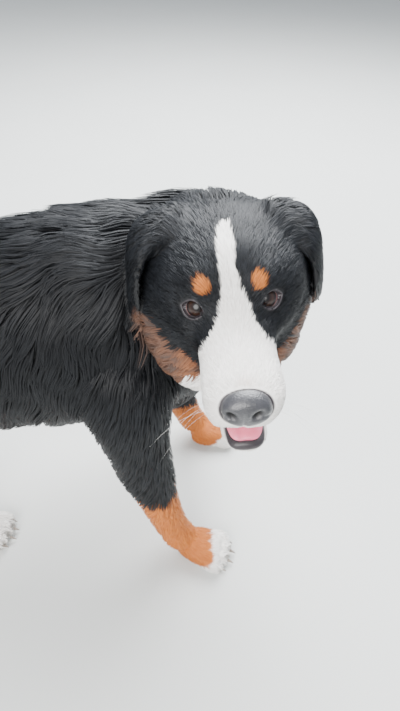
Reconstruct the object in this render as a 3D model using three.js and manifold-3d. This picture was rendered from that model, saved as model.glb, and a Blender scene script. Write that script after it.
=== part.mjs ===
// Bernese mountain dog, standing, with the head turned to its right, at life size in millimetres.
// x runs toward the chest, y toward the dog's left and z up from the floor under the paws.
// Every form is a smooth stack of oval rings from named sizes, grown over with flat bent locks of coat,
// fused into one body and parted by thin cuts into the pieces that a person would name.

import * as THREE from 'three';
import { mergeVertices } from 'three/addons/utils/BufferGeometryUtils.js';
import Module from 'manifold-3d';

const wasm = await Module();
wasm.setup();

// Gap between neighbouring pieces, and the coat's depth: how far the tips of locks stand over the core
const GAP = 0.3;
const COAT = { trunk: 14, neck: 15, ruff: 12, tail: 17, thigh: 11, foreleg: 5, ear: 0 };

// Locks of coat: rows run along the form between two shares of its length, spread between two angles round it
// (0 is the dog's left, 90 up, 180 right, 270 down; on a leg or the tail 90 is forward and 270 back)
const LOCK_STEPS = 3;
const LOCK_SIDES = 3;
const LOCKS = {
  trunk: { rows: 5, span: [0.21, 0.8], across: 8, angles: [-75, 255], length: 155, width: 104, thick: 12 },
  chest: { rows: 1, span: [0.86, 0.86], across: 4, angles: [-150, -10], length: 100, width: 74, thick: 11 },
  neck: { rows: 2, span: [0.36, 0.68], across: 6, angles: [-50, 250], length: 125, width: 92, thick: 12 },
  ruff: { rows: 1, span: [0.5, 0.5], across: 7, angles: [-170, 20], length: 85, width: 66, thick: 10 },
  tail: { rows: 4, span: [0.2, 0.76], across: 3, angles: [0, 270], length: 120, width: 58, thick: 10 },
  thigh: { rows: 3, span: [0.16, 0.4], across: 3, angles: [-115, 20], length: 100, width: 62, thick: 10 },
  foreleg: { rows: 3, span: [0.36, 0.66], across: 1, angles: [-90, -90], length: 70, width: 34, thick: 7 },
  ear: { rows: 1, span: [0.66, 0.66], across: 2, angles: [62, 118], length: 42, width: 32, thick: 6 },
};
// How much the locks of one row differ in place, angle, size and width
const LOCK_SPREAD = { place: 0.012, angle: 4, size: 0.12, width: 0.1 };
// Sideways bow of a lock as a share of its width, and how far along its wave it starts
const LOCK_BOW = [0.05, 0.3];
const LOCK_PHASE = 1.2;
const LOCK_WAVE = 2.2;
// Width of a lock where it leaves the coat and how much it gains toward its middle, and how fast it tapers
const LOCK_TAPER = { root: 0.8, gain: 0.9, width: 0.8, thick: 0.5 };
// A lock starts this deep in the core, rises to its coat's depth, and follows the core until that turns away;
// one that stays hidden for most of its volume is left out
const LOCK_SINK = 8;
const LOCK_RISE = 0.75;
const TURN_LIMIT = 0.2;
const HANG = 0.5;
const HIDDEN_SHARE = 0.6;
// The coat fades over this share of a leg's length, up to where its breeches end
const COAT_FADE = 0.15;
const BREECHES_END = 0.58;
const SEEDS = { body: 7, ear: 3 };

// Colours of the coat, the bare skin and the eyes
const BLACK_COAT = 0x17171b;
const TAN_COAT = 0x8d4a22;
const WHITE_COAT = 0xe2dcd2;
const NOSE_SKIN = 0x1b1b1e;
const TONGUE_SKIN = 0xd4707c;
const EYE_BROWN = 0x2a1710;

// A ring is [along, side centre, up centre, half width, reach up, reach down]; the first and last are poles.
// Trunk: along runs forward, from the rump to the breastbone
const TRUNK = [
  [-672, 0, 500, 0, 0, 0],
  [-664, 0, 498, 52, 48, 50],
  [-640, 0, 492, 88, 82, 92],
  [-595, 0, 482, 116, 106, 122],
  [-530, 0, 468, 130, 123, 128],
  [-450, 0, 454, 138, 137, 140],
  [-370, 0, 443, 142, 149, 152],
  [-290, 0, 434, 143, 160, 160],
  [-235, 0, 440, 143, 168, 164],
  [-174, 0, 447, 141, 171, 170],
  [-110, 0, 446, 132, 165, 165],
  [-55, 0, 438, 112, 145, 150],
  [-10, 0, 425, 80, 105, 115],
  [18, 0, 412, 40, 55, 60],
  [26, 0, 410, 0, 0, 0],
];

// Neck: along runs forward, out of the withers to the back of the head
const NECK = [
  [-215, 0, 455, 0, 0, 0],
  [-200, 0, 462, 80, 90, 90],
  [-150, 2, 485, 118, 128, 125],
  [-110, 6, 505, 115, 118, 122],
  [-70, 12, 522, 108, 105, 118],
  [-36, 14, 533, 104, 100, 115],
  [0, 12, 545, 98, 95, 110],
  [30, 8, 550, 80, 80, 90],
  [48, 6, 552, 50, 50, 55],
  [55, 6, 552, 0, 0, 0],
];

// Head frame: its origin lies between the eyes; rings run forward, side is the dog's left
const HEAD_AT = new THREE.Vector3(34, -152, 602);
const HEAD_YAW = -87;
const HEAD_PITCH = 4;
const HEAD_ROLL = 2.5;

// Ruff: the deep collar of neck and cheek coat behind the jaws, in the head frame
const RUFF = [
  [-212, 0, -34, 0, 0, 0],
  [-203, 0, -34, 48, 46, 50],
  [-178, -1, -30, 88, 84, 90],
  [-140, -3, -30, 104, 92, 107],
  [-100, -4, -32, 108, 86, 115],
  [-70, -4, -40, 107, 78, 115],
  [-45, -6, -56, 98, 68, 104],
  [-24, -9, -74, 81, 56, 78],
  [-7, -9, -84, 57, 36, 48],
  [-1, -8, -87, 0, 0, 0],
];

const HEAD = [
  [-150, 0, 0, 0, 0, 0],
  [-142, 0, 0, 44, 38, 44],
  [-120, 0, -2, 76, 58, 70],
  [-90, 0, -4, 87, 64, 80],
  [-60, 1, -7, 89, 65, 81],
  [-35, 1, -11, 83, 63, 76],
  [-15, 1, -17, 69, 57, 69],
  [0, 1, -24, 52, 47, 64],
  [14, 2, -31, 44, 36, 58],
  [35, 2, -40, 41, 29, 52],
  [60, 3, -46, 42, 28, 46],
  [82, 4, -50, 41, 26, 39],
  [97, 4, -52, 34, 20, 30],
  [106, 3, -52, 19, 12, 16],
  [109, 3, -52, 0, 0, 0],
];

const JAW = [
  [-70, 0, -70, 0, 0, 0],
  [-60, 0, -72, 30, 20, 22],
  [-30, 0, -84, 34, 16, 26],
  [0, 1, -94, 32, 12, 24],
  [30, 2, -103, 29, 10, 20],
  [60, 4, -112, 27, 10, 18],
  [80, 5, -117, 24, 9, 15],
  [92, 5, -118, 16, 7, 9],
  [96, 5, -118, 0, 0, 0],
];

const TONGUE = [
  [8, 1, -91, 0, 0, 0],
  [18, 2, -93, 17, 4, 4],
  [48, 3, -101, 19, 5, 4],
  [72, 5, -107, 18, 5, 4],
  [86, 5, -110, 12, 4, 3],
  [90, 5, -110, 0, 0, 0],
];

const NOSE = [
  [90, 3, -47, 0, 0, 0],
  [94, 3, -47, 21, 16, 17],
  [103, 3, -48, 25, 18, 19],
  [112, 3, -49, 20, 13, 14],
  [116, 3, -49, 0, 0, 0],
];

// Ear, hanging beside the head: along runs down, side runs back, up runs away from the head
const EAR = [
  [-62, 110, 66, 0, 0, 0],
  [-57, 110, 76, 20, 13, 36],
  [-45, 108, 92, 33, 12, 40],
  [-28, 104, 103, 42, 10, 27],
  [-8, 100, 108, 45, 8, 13],
  [15, 96, 111, 45, 7, 9],
  [38, 93, 113, 37, 6, 8],
  [57, 92, 114, 22, 5, 5],
  [70, 92, 114, 0, 0, 0],
];
const EAR_CURVE = 12;
// Degrees by which the tip of each ear swings forward about its root
const EAR_SWING = { left: 0, right: 9 };
const EAR_ROOT = new THREE.Vector3(-110, 0, 58);
const EAR_CUP = { forward: -90, side: 97, up: -4, halfWidth: 24, halfHeight: 22, depth: 11 };

const EYE = { radius: 11.5, forward: -10, side: 37, up: -1 };
const LID_THICKNESS = 3;
const EYE_OPENING = { reach: 9, halfWidth: 9.5, halfHeight: 6.6, forward: 1, side: 41 };
const NOSTRIL = { forward: 114, middle: 3, side: 13, up: -51, radius: 5.2 };

// Leg rings run down: [depth below z = 0 as -z, side, forward, half width, reach forward, reach back]
const FORELEG = [
  [-470, 88, -105, 0, 0, 0],
  [-455, 92, -105, 40, 45, 50],
  [-420, 100, -103, 52, 68, 72],
  [-375, 112, -100, 50, 62, 66],
  [-335, 118, -97, 44, 55, 55],
  [-285, 123, -88, 38, 47, 50],
  [-235, 125, -80, 34, 42, 48],
  [-175, 126, -70, 31, 35, 37],
  [-120, 127, -60, 29, 32, 31],
  [-75, 129, -48, 29, 30, 29],
  [-42, 131, -34, 29, 30, 27],
  [-16, 134, -20, 0, 0, 0],
];

const HINDLEG_FORWARD = [
  [-500, 66, -565, 0, 0, 0],
  [-490, 70, -565, 30, 50, 50],
  [-460, 82, -560, 48, 88, 82],
  [-420, 92, -545, 52, 98, 92],
  [-370, 100, -520, 50, 98, 95],
  [-320, 105, -495, 46, 82, 85],
  [-275, 106, -490, 40, 62, 68],
  [-230, 106, -500, 33, 42, 50],
  [-185, 105, -515, 27, 32, 34],
  [-150, 104, -520, 25, 32, 30],
  [-110, 104, -500, 25, 30, 28],
  [-70, 104, -470, 25, 30, 28],
  [-40, 105, -445, 27, 30, 28],
  [-16, 105, -428, 0, 0, 0],
];

const HINDLEG_BACK = [
  [-500, 66, -570, 0, 0, 0],
  [-490, 70, -570, 30, 50, 50],
  [-460, 82, -570, 48, 88, 80],
  [-420, 92, -560, 52, 95, 88],
  [-370, 98, -545, 50, 92, 88],
  [-320, 102, -540, 46, 82, 78],
  [-275, 103, -560, 40, 62, 62],
  [-230, 102, -595, 32, 44, 46],
  [-190, 100, -625, 27, 34, 36],
  [-155, 98, -640, 25, 32, 30],
  [-110, 97, -640, 25, 28, 28],
  [-70, 97, -632, 25, 28, 27],
  [-40, 97, -622, 27, 28, 26],
  [-16, 97, -610, 0, 0, 0],
];

const TAIL = [
  [-572, 0, -650, 0, 0, 0],
  [-560, 0, -652, 24, 24, 16],
  [-530, 0, -668, 34, 36, 28],
  [-490, 0, -690, 40, 38, 36],
  [-430, 2, -708, 46, 36, 44],
  [-360, 4, -716, 51, 38, 50],
  [-290, 6, -716, 51, 38, 50],
  [-230, 8, -708, 43, 32, 42],
  [-190, 9, -698, 26, 22, 26],
  [-160, 10, -690, 0, 0, 0],
];

// Paw rings run forward from the wrist, with the sole at z = 0
const PAW = [
  [-50, 0, 26, 0, 0, 0],
  [-44, 0, 26, 20, 20, 22],
  [-22, 0, 25, 31, 27, 30],
  [4, 0, 22, 36, 25, 30],
  [26, 0, 18, 34, 20, 26],
  [36, 0, 17, 0, 0, 0],
];
const TOE = { radius: 12.5, length: 23, height: 17, up: 15 };
const TOE_SIDES = [-27, -9.5, 9.5, 27];
const TOE_FORWARDS = [24, 34, 34, 24];
const CLAW = { radius: 3.4, length: 15, up: 9 };
const PAWS = [
  { name: 'forepaw_right', x: 8, y: -142, turn: -14, scale: 1 },
  { name: 'forepaw_left', x: 30, y: 120, turn: 8, scale: 1 },
  { name: 'hindpaw_right', x: -400, y: -106, turn: -4, scale: 0.95 },
  { name: 'hindpaw_left', x: -584, y: 98, turn: 6, scale: 0.95 },
];
const FORELEG_LEFT_SHIFT = 22;

// Where the pieces part: cheeks from neck, neck from trunk, paws from legs
const FAR = 900;
const REGION_MARGIN = 16;
const CHEST_FROM = -50;
const RUMP_FROM = -560;
const CHEEKS_FROM = -84;
const NECK_CUT = { x: -104, z: 500, slope: -35 };
const PAW_BOX = { length: 180, width: 120, top: 52, ahead: 10 };

// Closed surfaces as solids

function toSolid(geometry) {
  const bare = geometry.index ? geometry.toNonIndexed() : geometry.clone();
  bare.deleteAttribute('normal');
  bare.deleteAttribute('uv');
  const merged = mergeVertices(bare, 1e-4);
  const vertProperties = Float32Array.from(merged.attributes.position.array);
  const triVerts = outwardTriangles(vertProperties, merged.index.array);
  return new wasm.Manifold(new wasm.Mesh({ numProp: 3, vertProperties, triVerts }));
}

function outwardTriangles(positions, index) {
  const corner = (i) => new THREE.Vector3().fromArray(positions, 3 * i);
  const kept = [];
  let volume = 0;
  for (let i = 0; i < index.length; i += 3) {
    const [a, b, c] = [index[i], index[i + 1], index[i + 2]];
    if (a === b || b === c || c === a) continue;
    kept.push(a, b, c);
    volume += corner(a).dot(corner(b).cross(corner(c)));
  }
  if (volume < 0) kept.reverse();
  return Uint32Array.from(kept);
}

function largest(solid) {
  return solid.decompose().reduce((best, piece) => (piece.volume() > best.volume() ? piece : best));
}

// A form: rings stacked along its own x, joined into one closed surface and placed by a matrix

function makeForm(rings, options = {}) {
  const { grow = 0, thin = () => 0, around = 16, between = 1, curve = 0 } = options;
  const { place = new THREE.Matrix4() } = options;
  const spline = (from) => new THREE.CatmullRomCurve3(
    rings.map((ring) => new THREE.Vector3(ring[from], ring[from + 1], ring[from + 2])), false, 'catmullrom');
  const centres = spline(0);
  const reaches = spline(3);
  const middle = (rings[0][0] + rings.at(-1)[0]) / 2;
  const half = Math.abs(rings.at(-1)[0] - rings[0][0]) / 2;

  function point(t, angle) {
    const centre = centres.getPoint(THREE.MathUtils.clamp(t, 0, 1));
    const reach = reaches.getPoint(THREE.MathUtils.clamp(t, 0, 1));
    const pole = t < 1e-6 || t > 1 - 1e-6;
    const grown = (value) => (pole ? 0 : Math.max(value + grow - thin(t), 1));
    const lift = Math.sin(angle) * grown(Math.sin(angle) > 0 ? reach.y : reach.z);
    const along = middle + (centre.x - middle) * (half + grow) / half;
    const wide = Math.cos(angle) * grown(reach.x);
    const bend = curve * (wide / Math.max(reach.x, 1)) ** 2;
    return new THREE.Vector3(along, centre.y + wide, centre.z + lift - bend).applyMatrix4(place);
  }

  function solid() {
    const geometry = new THREE.SphereGeometry(1, around, (rings.length - 1) * between);
    const { position, uv } = geometry.attributes;
    for (let i = 0; i < position.count; i += 1) {
      const spot = point(1 - uv.getY(i), 2 * Math.PI * uv.getX(i));
      position.setXYZ(i, spot.x, spot.y, spot.z);
    }
    return toSolid(geometry);
  }
  return { point, solid };
}

// Locks: flat tapering blades that leave the core, bend over and lie along the coat

let seed = SEEDS.body;
function random(low = 0, high = 1) {
  seed = (seed * 1664525 + 1013904223) % 4294967296;
  return low + (high - low) * seed / 4294967296;
}

// Steps over a form's surface along the lie, giving at each step its place, outward side and direction;
// where the surface turns away or ends, the lock hangs freely
function walk(form, t, angle, lie, stride) {
  const spots = [];
  const small = 0.004;
  const end = 0.03;
  for (let k = 0; k <= LOCK_STEPS; k += 1) {
    const at = form.point(t, angle);
    const alongT = form.point(t + small, angle).sub(at).divideScalar(small);
    const alongA = form.point(t, angle + small).sub(at).divideScalar(small);
    const out = alongA.clone().cross(alongT).normalize();
    if (out.dot(at.clone().sub(form.point(t, angle + Math.PI))) < 0) out.negate();
    const before = spots.at(-1);
    if (before && (t < end || t > 1 - end || out.dot(spots[0].out) < TURN_LIMIT)) {
      const hanging = before.flow.clone().addScaledVector(DOWN, HANG).projectOnPlane(before.out).normalize();
      const lower = before.at.clone().addScaledVector(hanging, stride * HANG);
      spots.push({ at: lower, out: before.out, flow: hanging });
      continue;
    }
    const flow = lie(at).projectOnPlane(out).normalize();
    if (before) flow.add(before.flow).projectOnPlane(out).normalize();
    spots.push({ at, out: before ? out.clone().add(before.out).normalize() : out, flow });
    const [tt, ta, aa] = [alongT.dot(alongT), alongT.dot(alongA), alongA.dot(alongA)];
    const [bt, ba] = [stride * flow.dot(alongT), stride * flow.dot(alongA)];
    const det = tt * aa - ta * ta;
    t += (bt * aa - ba * ta) / det;
    angle += (ba * tt - bt * ta) / det;
  }
  return spots;
}

function lockSolid(form, t, angle, lie, { length, width, thick, lift, bow, phase, extra }) {
  const spots = walk(form, t, angle, lie, length / LOCK_STEPS);
  const blade = new THREE.ConeGeometry(1, 1, LOCK_SIDES, LOCK_STEPS);
  const { position } = blade.attributes;
  for (let i = 0; i < position.count; i += 1) {
    const share = position.getY(i) + 0.5;
    const { at, out, flow } = spots[Math.round(share * LOCK_STEPS)];
    const side = new THREE.Vector3().crossVectors(flow, out);
    const rim = Math.hypot(position.getX(i), position.getZ(i)) || 1;
    const fullness = LOCK_TAPER.root + LOCK_TAPER.gain * share;
    const halfWidth = extra + width / 2 * fullness * (1 - share ** 2) ** LOCK_TAPER.width;
    const halfThick = extra + thick / 2 * (1 - share) ** LOCK_TAPER.thick;
    const height = -LOCK_SINK + (lift + LOCK_SINK) * share ** LOCK_RISE;
    const sway = bow * share * Math.sin(LOCK_WAVE * share + phase);
    const spot = at.clone()
      .addScaledVector(out, height + halfThick * position.getZ(i) / rim)
      .addScaledVector(side, sway + halfWidth * position.getX(i) / rim);
    position.setXYZ(i, spot.x, spot.y, spot.z);
  }
  return toSolid(blade);
}

function growLocks(form, lie, pattern, coat, extra = 0) {
  const { rows, span, across, angles, length, width, thick } = pattern;
  const spread = (most) => random(-most, most);
  const locks = [];
  for (let row = 0; row < rows; row += 1) {
    for (let place = 0; place < across; place += 1) {
      const share = (place + (row % 2 ? 0.75 : 0.25)) / across;
      const down = rows > 1 ? row / (rows - 1) : 0;
      const t = THREE.MathUtils.lerp(...span, down) + spread(LOCK_SPREAD.place);
      const angle = THREE.MathUtils.lerp(...angles, share) + spread(LOCK_SPREAD.angle);
      const size = 1 + spread(LOCK_SPREAD.size);
      locks.push(lockSolid(form, t, THREE.MathUtils.degToRad(angle), lie, {
        length: length * size,
        width: width * (1 + spread(LOCK_SPREAD.width)),
        thick,
        lift: coat - thick / 4,
        bow: width * random(...LOCK_BOW),
        phase: spread(LOCK_PHASE),
        extra,
      }));
    }
  }
  return locks;
}

// The lie of the coat: back and down along the trunk, down on the chest, breeches, forelegs, tail and ears

const sideOf = (at) => Math.sign(at.y) || 1;
function lieOfTrunk(at) {
  if (at.x > CHEST_FROM) return new THREE.Vector3(-0.3, 0, -1);
  if (at.x < RUMP_FROM) return new THREE.Vector3(-0.3, 0.9 * sideOf(at), -1);
  return new THREE.Vector3(-1, 0.35 * sideOf(at), -0.6);
}
const lieOfNeck = (at) => new THREE.Vector3(-0.7, 0.25 * sideOf(at), -0.9);
function lieOfRuff() {
  return new THREE.Vector3(-0.75, 0, -0.8).applyMatrix4(new THREE.Matrix4().extractRotation(headPlace));
}
const lieOfThigh = () => new THREE.Vector3(-0.6, 0, -1);
const lieDown = () => new THREE.Vector3(-0.25, 0, -1);

// Placing matrices: columns are the directions of a form's own along, side and up

function placing(along, side, up, at = new THREE.Vector3()) {
  return new THREE.Matrix4().makeBasis(along, side, up).setPosition(at);
}

const X = new THREE.Vector3(1, 0, 0);
const Y = new THREE.Vector3(0, 1, 0);
const Z = new THREE.Vector3(0, 0, 1);
const DOWN = Z.clone().negate();

const headAngles = [HEAD_ROLL, -HEAD_PITCH, HEAD_YAW].map((angle) => THREE.MathUtils.degToRad(angle));
const headTurn = new THREE.Euler(...headAngles, 'ZYX');
const headPlace = new THREE.Matrix4().makeRotationFromEuler(headTurn).setPosition(HEAD_AT);

function sidePlace(side) {
  return placing(DOWN, Y.clone().multiplyScalar(side), X);
}

function ball(centre, radii, around = 12, rings = 8) {
  const geometry = new THREE.SphereGeometry(1, around, rings);
  geometry.scale(...radii);
  geometry.translate(...centre);
  return geometry;
}

// Head with its lids, nose, jaw and tongue

const inHead = (geometry) => toSolid(geometry.applyMatrix4(headPlace));
const eyeCentre = (side) => [EYE.forward, side * EYE.side, EYE.up];

function hollowsOfHead() {
  const { radius } = EYE;
  const { reach, halfWidth, halfHeight } = EYE_OPENING;
  return [1, -1].flatMap((side) => {
    const middle = [EYE_OPENING.forward, side * EYE_OPENING.side, EYE.up];
    return [
      inHead(ball(eyeCentre(side), Array(3).fill(radius + GAP), 12, 8)),
      inHead(ball(middle, [reach, halfWidth, halfHeight], 12, 6)),
    ];
  });
}

function buildHead() {
  const head = makeForm(HEAD, { place: headPlace, around: 20, between: 2 }).solid();
  const grown = (rings, around, between = 1) =>
    makeForm(rings, { grow: GAP, place: headPlace, around, between }).solid();
  const jaw = makeForm(JAW, { place: headPlace, around: 16 }).solid();
  const shapes = { head, nose: makeForm(NOSE, { place: headPlace, around: 14, between: 2 }).solid() };

  for (const side of [1, -1]) {
    const lid = EYE.radius + LID_THICKNESS;
    shapes.head = shapes.head.add(inHead(ball(eyeCentre(side), [lid, lid, lid - 1], 12, 8)));
    const eyeball = ball(eyeCentre(side), Array(3).fill(EYE.radius), 12, 8);
    shapes[side > 0 ? 'eye_left' : 'eye_right'] = inHead(eyeball);
    const nostril = ball([NOSTRIL.forward, NOSTRIL.middle + side * NOSTRIL.side, NOSTRIL.up],
      [NOSTRIL.radius, NOSTRIL.radius * 0.8, NOSTRIL.radius], 10, 6);
    shapes.nose = shapes.nose.subtract(inHead(nostril));
  }
  shapes.head = shapes.head.subtract(grown(NOSE, 14, 2));
  shapes.tongue = makeForm(TONGUE, { place: headPlace, around: 12 }).solid().subtract(grown(HEAD, 20, 2));
  shapes.lower_jaw = jaw.subtract(grown(HEAD, 20, 2)).subtract(grown(TONGUE, 12));
  return shapes;
}

function earTurn(side) {
  const swing = THREE.MathUtils.degToRad(side > 0 ? EAR_SWING.left : EAR_SWING.right);
  const turn = new THREE.Matrix4().makeRotationY(-swing);
  return turn.setPosition(EAR_ROOT.clone().sub(EAR_ROOT.clone().applyMatrix4(turn)));
}

function earSolid(side, grow = 0) {
  const hang = placing(DOWN, X.clone().negate(), Y.clone().multiplyScalar(side)).premultiply(earTurn(side));
  const options = { place: headPlace.clone().multiply(hang), around: 14, curve: EAR_CURVE };
  seed = SEEDS.ear;
  const locks = growLocks(makeForm(EAR, options), lieDown, LOCKS.ear, COAT.ear, grow);
  return wasm.Manifold.union([makeForm(EAR, { ...options, grow }).solid(), ...locks]);
}

function buildEar(side, skullGrown) {
  const { forward, up, halfWidth, halfHeight, depth } = EAR_CUP;
  const hollow = ball([forward, side * EAR_CUP.side, up], [halfWidth, depth, halfHeight], 12, 8);
  const cup = inHead(hollow.applyMatrix4(earTurn(side)));
  return earSolid(side).subtract(cup).subtract(skullGrown);
}

function buildPaw({ x, y, turn, scale }) {
  const place = new THREE.Matrix4().makeRotationZ(THREE.MathUtils.degToRad(turn)).setPosition(x, y, 0);
  place.scale(new THREE.Vector3(scale, scale, scale));
  let paw = makeForm(PAW, { place, around: 10 }).solid();
  TOE_SIDES.forEach((side, i) => {
    const forward = TOE_FORWARDS[i];
    const toe = ball([forward, side, TOE.up], [TOE.length, TOE.radius, TOE.height], 7, 5);
    const claw = new THREE.ConeGeometry(CLAW.radius, CLAW.length, 4, 1);
    claw.rotateZ(-Math.PI / 2 - 0.35);
    claw.translate(forward + TOE.length, side, CLAW.up);
    paw = paw.add(toSolid(toe.applyMatrix4(place))).add(toSolid(claw.applyMatrix4(place)));
  });
  return paw;
}

// A region is a form a little wider than a piece and its locks, which it parts from the rest

function part(rest, rings, options) {
  const inner = makeForm(rings, { ...options, grow: REGION_MARGIN });
  const outer = makeForm(rings, { ...options, grow: REGION_MARGIN + GAP });
  return [rest.intersect(inner.solid()), rest.subtract(outer.solid())];
}

function ahead(place, from, reach) {
  const box = new THREE.BoxGeometry(reach, reach, reach);
  box.translate(from + reach / 2, 0, 0);
  return toSolid(box.applyMatrix4(place));
}

const neckCut = new THREE.Matrix4()
  .makeRotationY(THREE.MathUtils.degToRad(NECK_CUT.slope))
  .setPosition(NECK_CUT.x, 0, NECK_CUT.z);

const legPlace = (side) => sidePlace(side).premultiply(
  new THREE.Matrix4().makeTranslation(side > 0 ? FORELEG_LEFT_SHIFT : 0, 0, 0));

// A core and its locks; the coat thins out toward the share of the length where it ends

function coated(rings, options, coat, coats, coatEnd = 2) {
  const thin = (t) => coat * THREE.MathUtils.smoothstep(coatEnd - t, 0, COAT_FADE);
  const core = makeForm(rings, { ...options, thin });
  const locks = coats.flatMap(([pattern, lie]) => growLocks(core, lie, pattern, coat));
  return { core: core.solid(), locks };
}

function buildBody() {
  const { trunk, chest, neck, ruff, tail, thigh, foreleg } = LOCKS;
  const forms = [
    coated(TRUNK, { around: 16 }, COAT.trunk, [[trunk, lieOfTrunk], [chest, lieOfTrunk]]),
    coated(NECK, { around: 14 }, COAT.neck, [[neck, lieOfNeck]]),
    coated(RUFF, { place: headPlace, around: 14 }, COAT.ruff, [[ruff, lieOfRuff]]),
    coated(TAIL, { place: sidePlace(1), around: 8 }, COAT.tail, [[tail, lieDown]]),
  ];
  for (const side of [1, -1]) {
    const hindleg = side > 0 ? HINDLEG_BACK : HINDLEG_FORWARD;
    const foot = { place: sidePlace(side), around: 10 };
    forms.push(coated(FORELEG, { place: legPlace(side), around: 10 }, COAT.foreleg, [[foreleg, lieOfThigh]]));
    forms.push(coated(hindleg, foot, COAT.thigh, [[thigh, lieOfThigh]], BREECHES_END));
  }
  const cores = wasm.Manifold.union(forms.map((form) => form.core));
  const shows = (lock) => lock.intersect(cores).volume() < HIDDEN_SHARE * lock.volume();
  const locks = forms.flatMap((form) => form.locks);
  return wasm.Manifold.union([cores, ...locks.filter(shows), ...PAWS.map(buildPaw)]);
}

// Everything below the floor is cut away, so that each paw rests on a flat sole

function aboveFloor(solid) {
  const under = new THREE.BoxGeometry(2 * FAR, 2 * FAR, 100);
  under.translate(0, 0, -50);
  return solid.subtract(toSolid(under));
}

function pawBox({ x, y }, extra) {
  const { length, width, top, ahead: forward } = PAW_BOX;
  const geometry = new THREE.BoxGeometry(length + 2 * extra, width + 2 * extra, 2 * (top + extra));
  geometry.translate(x + forward, y, 0);
  return toSolid(geometry);
}

function buildPieces() {
  const pieces = buildHead();
  const skull = (grow) => makeForm(HEAD, { grow, place: headPlace, around: 20, between: 2 }).solid();
  const jawGrown = makeForm(JAW, { grow: GAP, place: headPlace, around: 16 }).solid();
  const skullGrown = skull(GAP);
  let rest = aboveFloor(buildBody()).subtract(jawGrown);
  for (const side of [1, -1]) {
    rest = rest.subtract(earSolid(side, GAP).add(earSolid(side)).subtract(skull(0)));
    pieces[side > 0 ? 'ear_left' : 'ear_right'] = buildEar(side, skullGrown);
  }

  // The cheeks, in front of a plane behind the jaws, belong to the head
  const ruff = (grow) => makeForm(RUFF, { grow, place: headPlace, around: 10 }).solid();
  const cheeks = rest.intersect(ruff(REGION_MARGIN)).intersect(ahead(headPlace, CHEEKS_FROM, FAR));
  pieces.head = pieces.head.add(cheeks);
  for (const hollow of hollowsOfHead()) pieces.head = pieces.head.subtract(hollow);
  rest = rest.subtract(ruff(REGION_MARGIN + GAP).intersect(ahead(headPlace, CHEEKS_FROM - GAP, FAR)));
  rest = rest.subtract(skullGrown);

  [pieces.tail, rest] = part(rest, TAIL, { place: sidePlace(1), around: 6 });
  for (const paw of PAWS) {
    pieces[paw.name] = rest.intersect(pawBox(paw, 0));
    rest = rest.subtract(pawBox(paw, GAP));
  }
  for (const side of [1, -1]) {
    const word = side > 0 ? 'left' : 'right';
    const hindleg = side > 0 ? HINDLEG_BACK : HINDLEG_FORWARD;
    [pieces[`foreleg_${word}`], rest] = part(rest, FORELEG, { place: legPlace(side), around: 8 });
    [pieces[`hindleg_${word}`], rest] = part(rest, hindleg, { place: sidePlace(side), around: 8 });
  }
  pieces.neck = rest.intersect(ahead(neckCut, 0, FAR));
  pieces.torso = rest.subtract(ahead(neckCut, -GAP, FAR));
  return pieces;
}

function materialFor(name) {
  const bare = { nose: NOSE_SKIN, tongue: TONGUE_SKIN, eye_left: EYE_BROWN, eye_right: EYE_BROWN };
  const glossy = name.startsWith('eye') || name === 'tongue' || name === 'nose';
  const coat = name.includes('paw') ? TAN_COAT : name === 'lower_jaw' ? WHITE_COAT : BLACK_COAT;
  return new THREE.MeshStandardMaterial({
    color: bare[name] ?? coat,
    roughness: glossy ? 0.25 : 0.75,
    metalness: 0,
  });
}

function toMesh(name, solid) {
  const { vertProperties, triVerts } = largest(solid).getMesh();
  const geometry = new THREE.BufferGeometry();
  geometry.setAttribute('position', new THREE.BufferAttribute(Float32Array.from(vertProperties), 3));
  geometry.setIndex(new THREE.BufferAttribute(Uint32Array.from(triVerts), 1));
  geometry.computeVertexNormals();
  const mesh = new THREE.Mesh(geometry, materialFor(name));
  mesh.name = name;
  return mesh;
}

// The origin is at the middle of the dog's footprint box, on the floor

const dog = new THREE.Group();
for (const [name, solid] of Object.entries(buildPieces())) dog.add(toMesh(name, solid));
const middle = new THREE.Box3().setFromObject(dog).getCenter(new THREE.Vector3());
dog.position.set(-middle.x, -middle.y, 0);

export default dog;
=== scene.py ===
import math

import bpy
import numpy as np
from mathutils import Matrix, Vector, kdtree


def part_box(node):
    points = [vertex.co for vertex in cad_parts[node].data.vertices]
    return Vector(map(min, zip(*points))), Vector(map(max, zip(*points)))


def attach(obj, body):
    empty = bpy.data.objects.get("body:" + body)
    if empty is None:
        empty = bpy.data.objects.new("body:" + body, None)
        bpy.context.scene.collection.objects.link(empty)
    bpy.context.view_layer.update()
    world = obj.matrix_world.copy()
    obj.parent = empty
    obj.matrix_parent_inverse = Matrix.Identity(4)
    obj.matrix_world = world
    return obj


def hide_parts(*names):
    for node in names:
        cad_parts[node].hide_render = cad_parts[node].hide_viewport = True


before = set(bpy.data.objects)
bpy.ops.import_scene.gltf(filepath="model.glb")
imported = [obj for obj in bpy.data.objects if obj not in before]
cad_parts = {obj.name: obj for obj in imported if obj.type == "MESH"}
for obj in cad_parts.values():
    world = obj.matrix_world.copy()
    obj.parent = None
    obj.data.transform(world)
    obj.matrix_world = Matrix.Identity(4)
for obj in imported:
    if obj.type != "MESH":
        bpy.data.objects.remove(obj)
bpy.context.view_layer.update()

# Lengths are in millimetres in the dog's own frame: x forward, y to its left, z up, the floor at 0.
# In the head's frame they are u forward, v to its left and w up.
MM = 0.001
SEED = 20

# Rings of each form: along, side centre, up centre, half width, reach up, reach down; the first and last are poles

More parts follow.
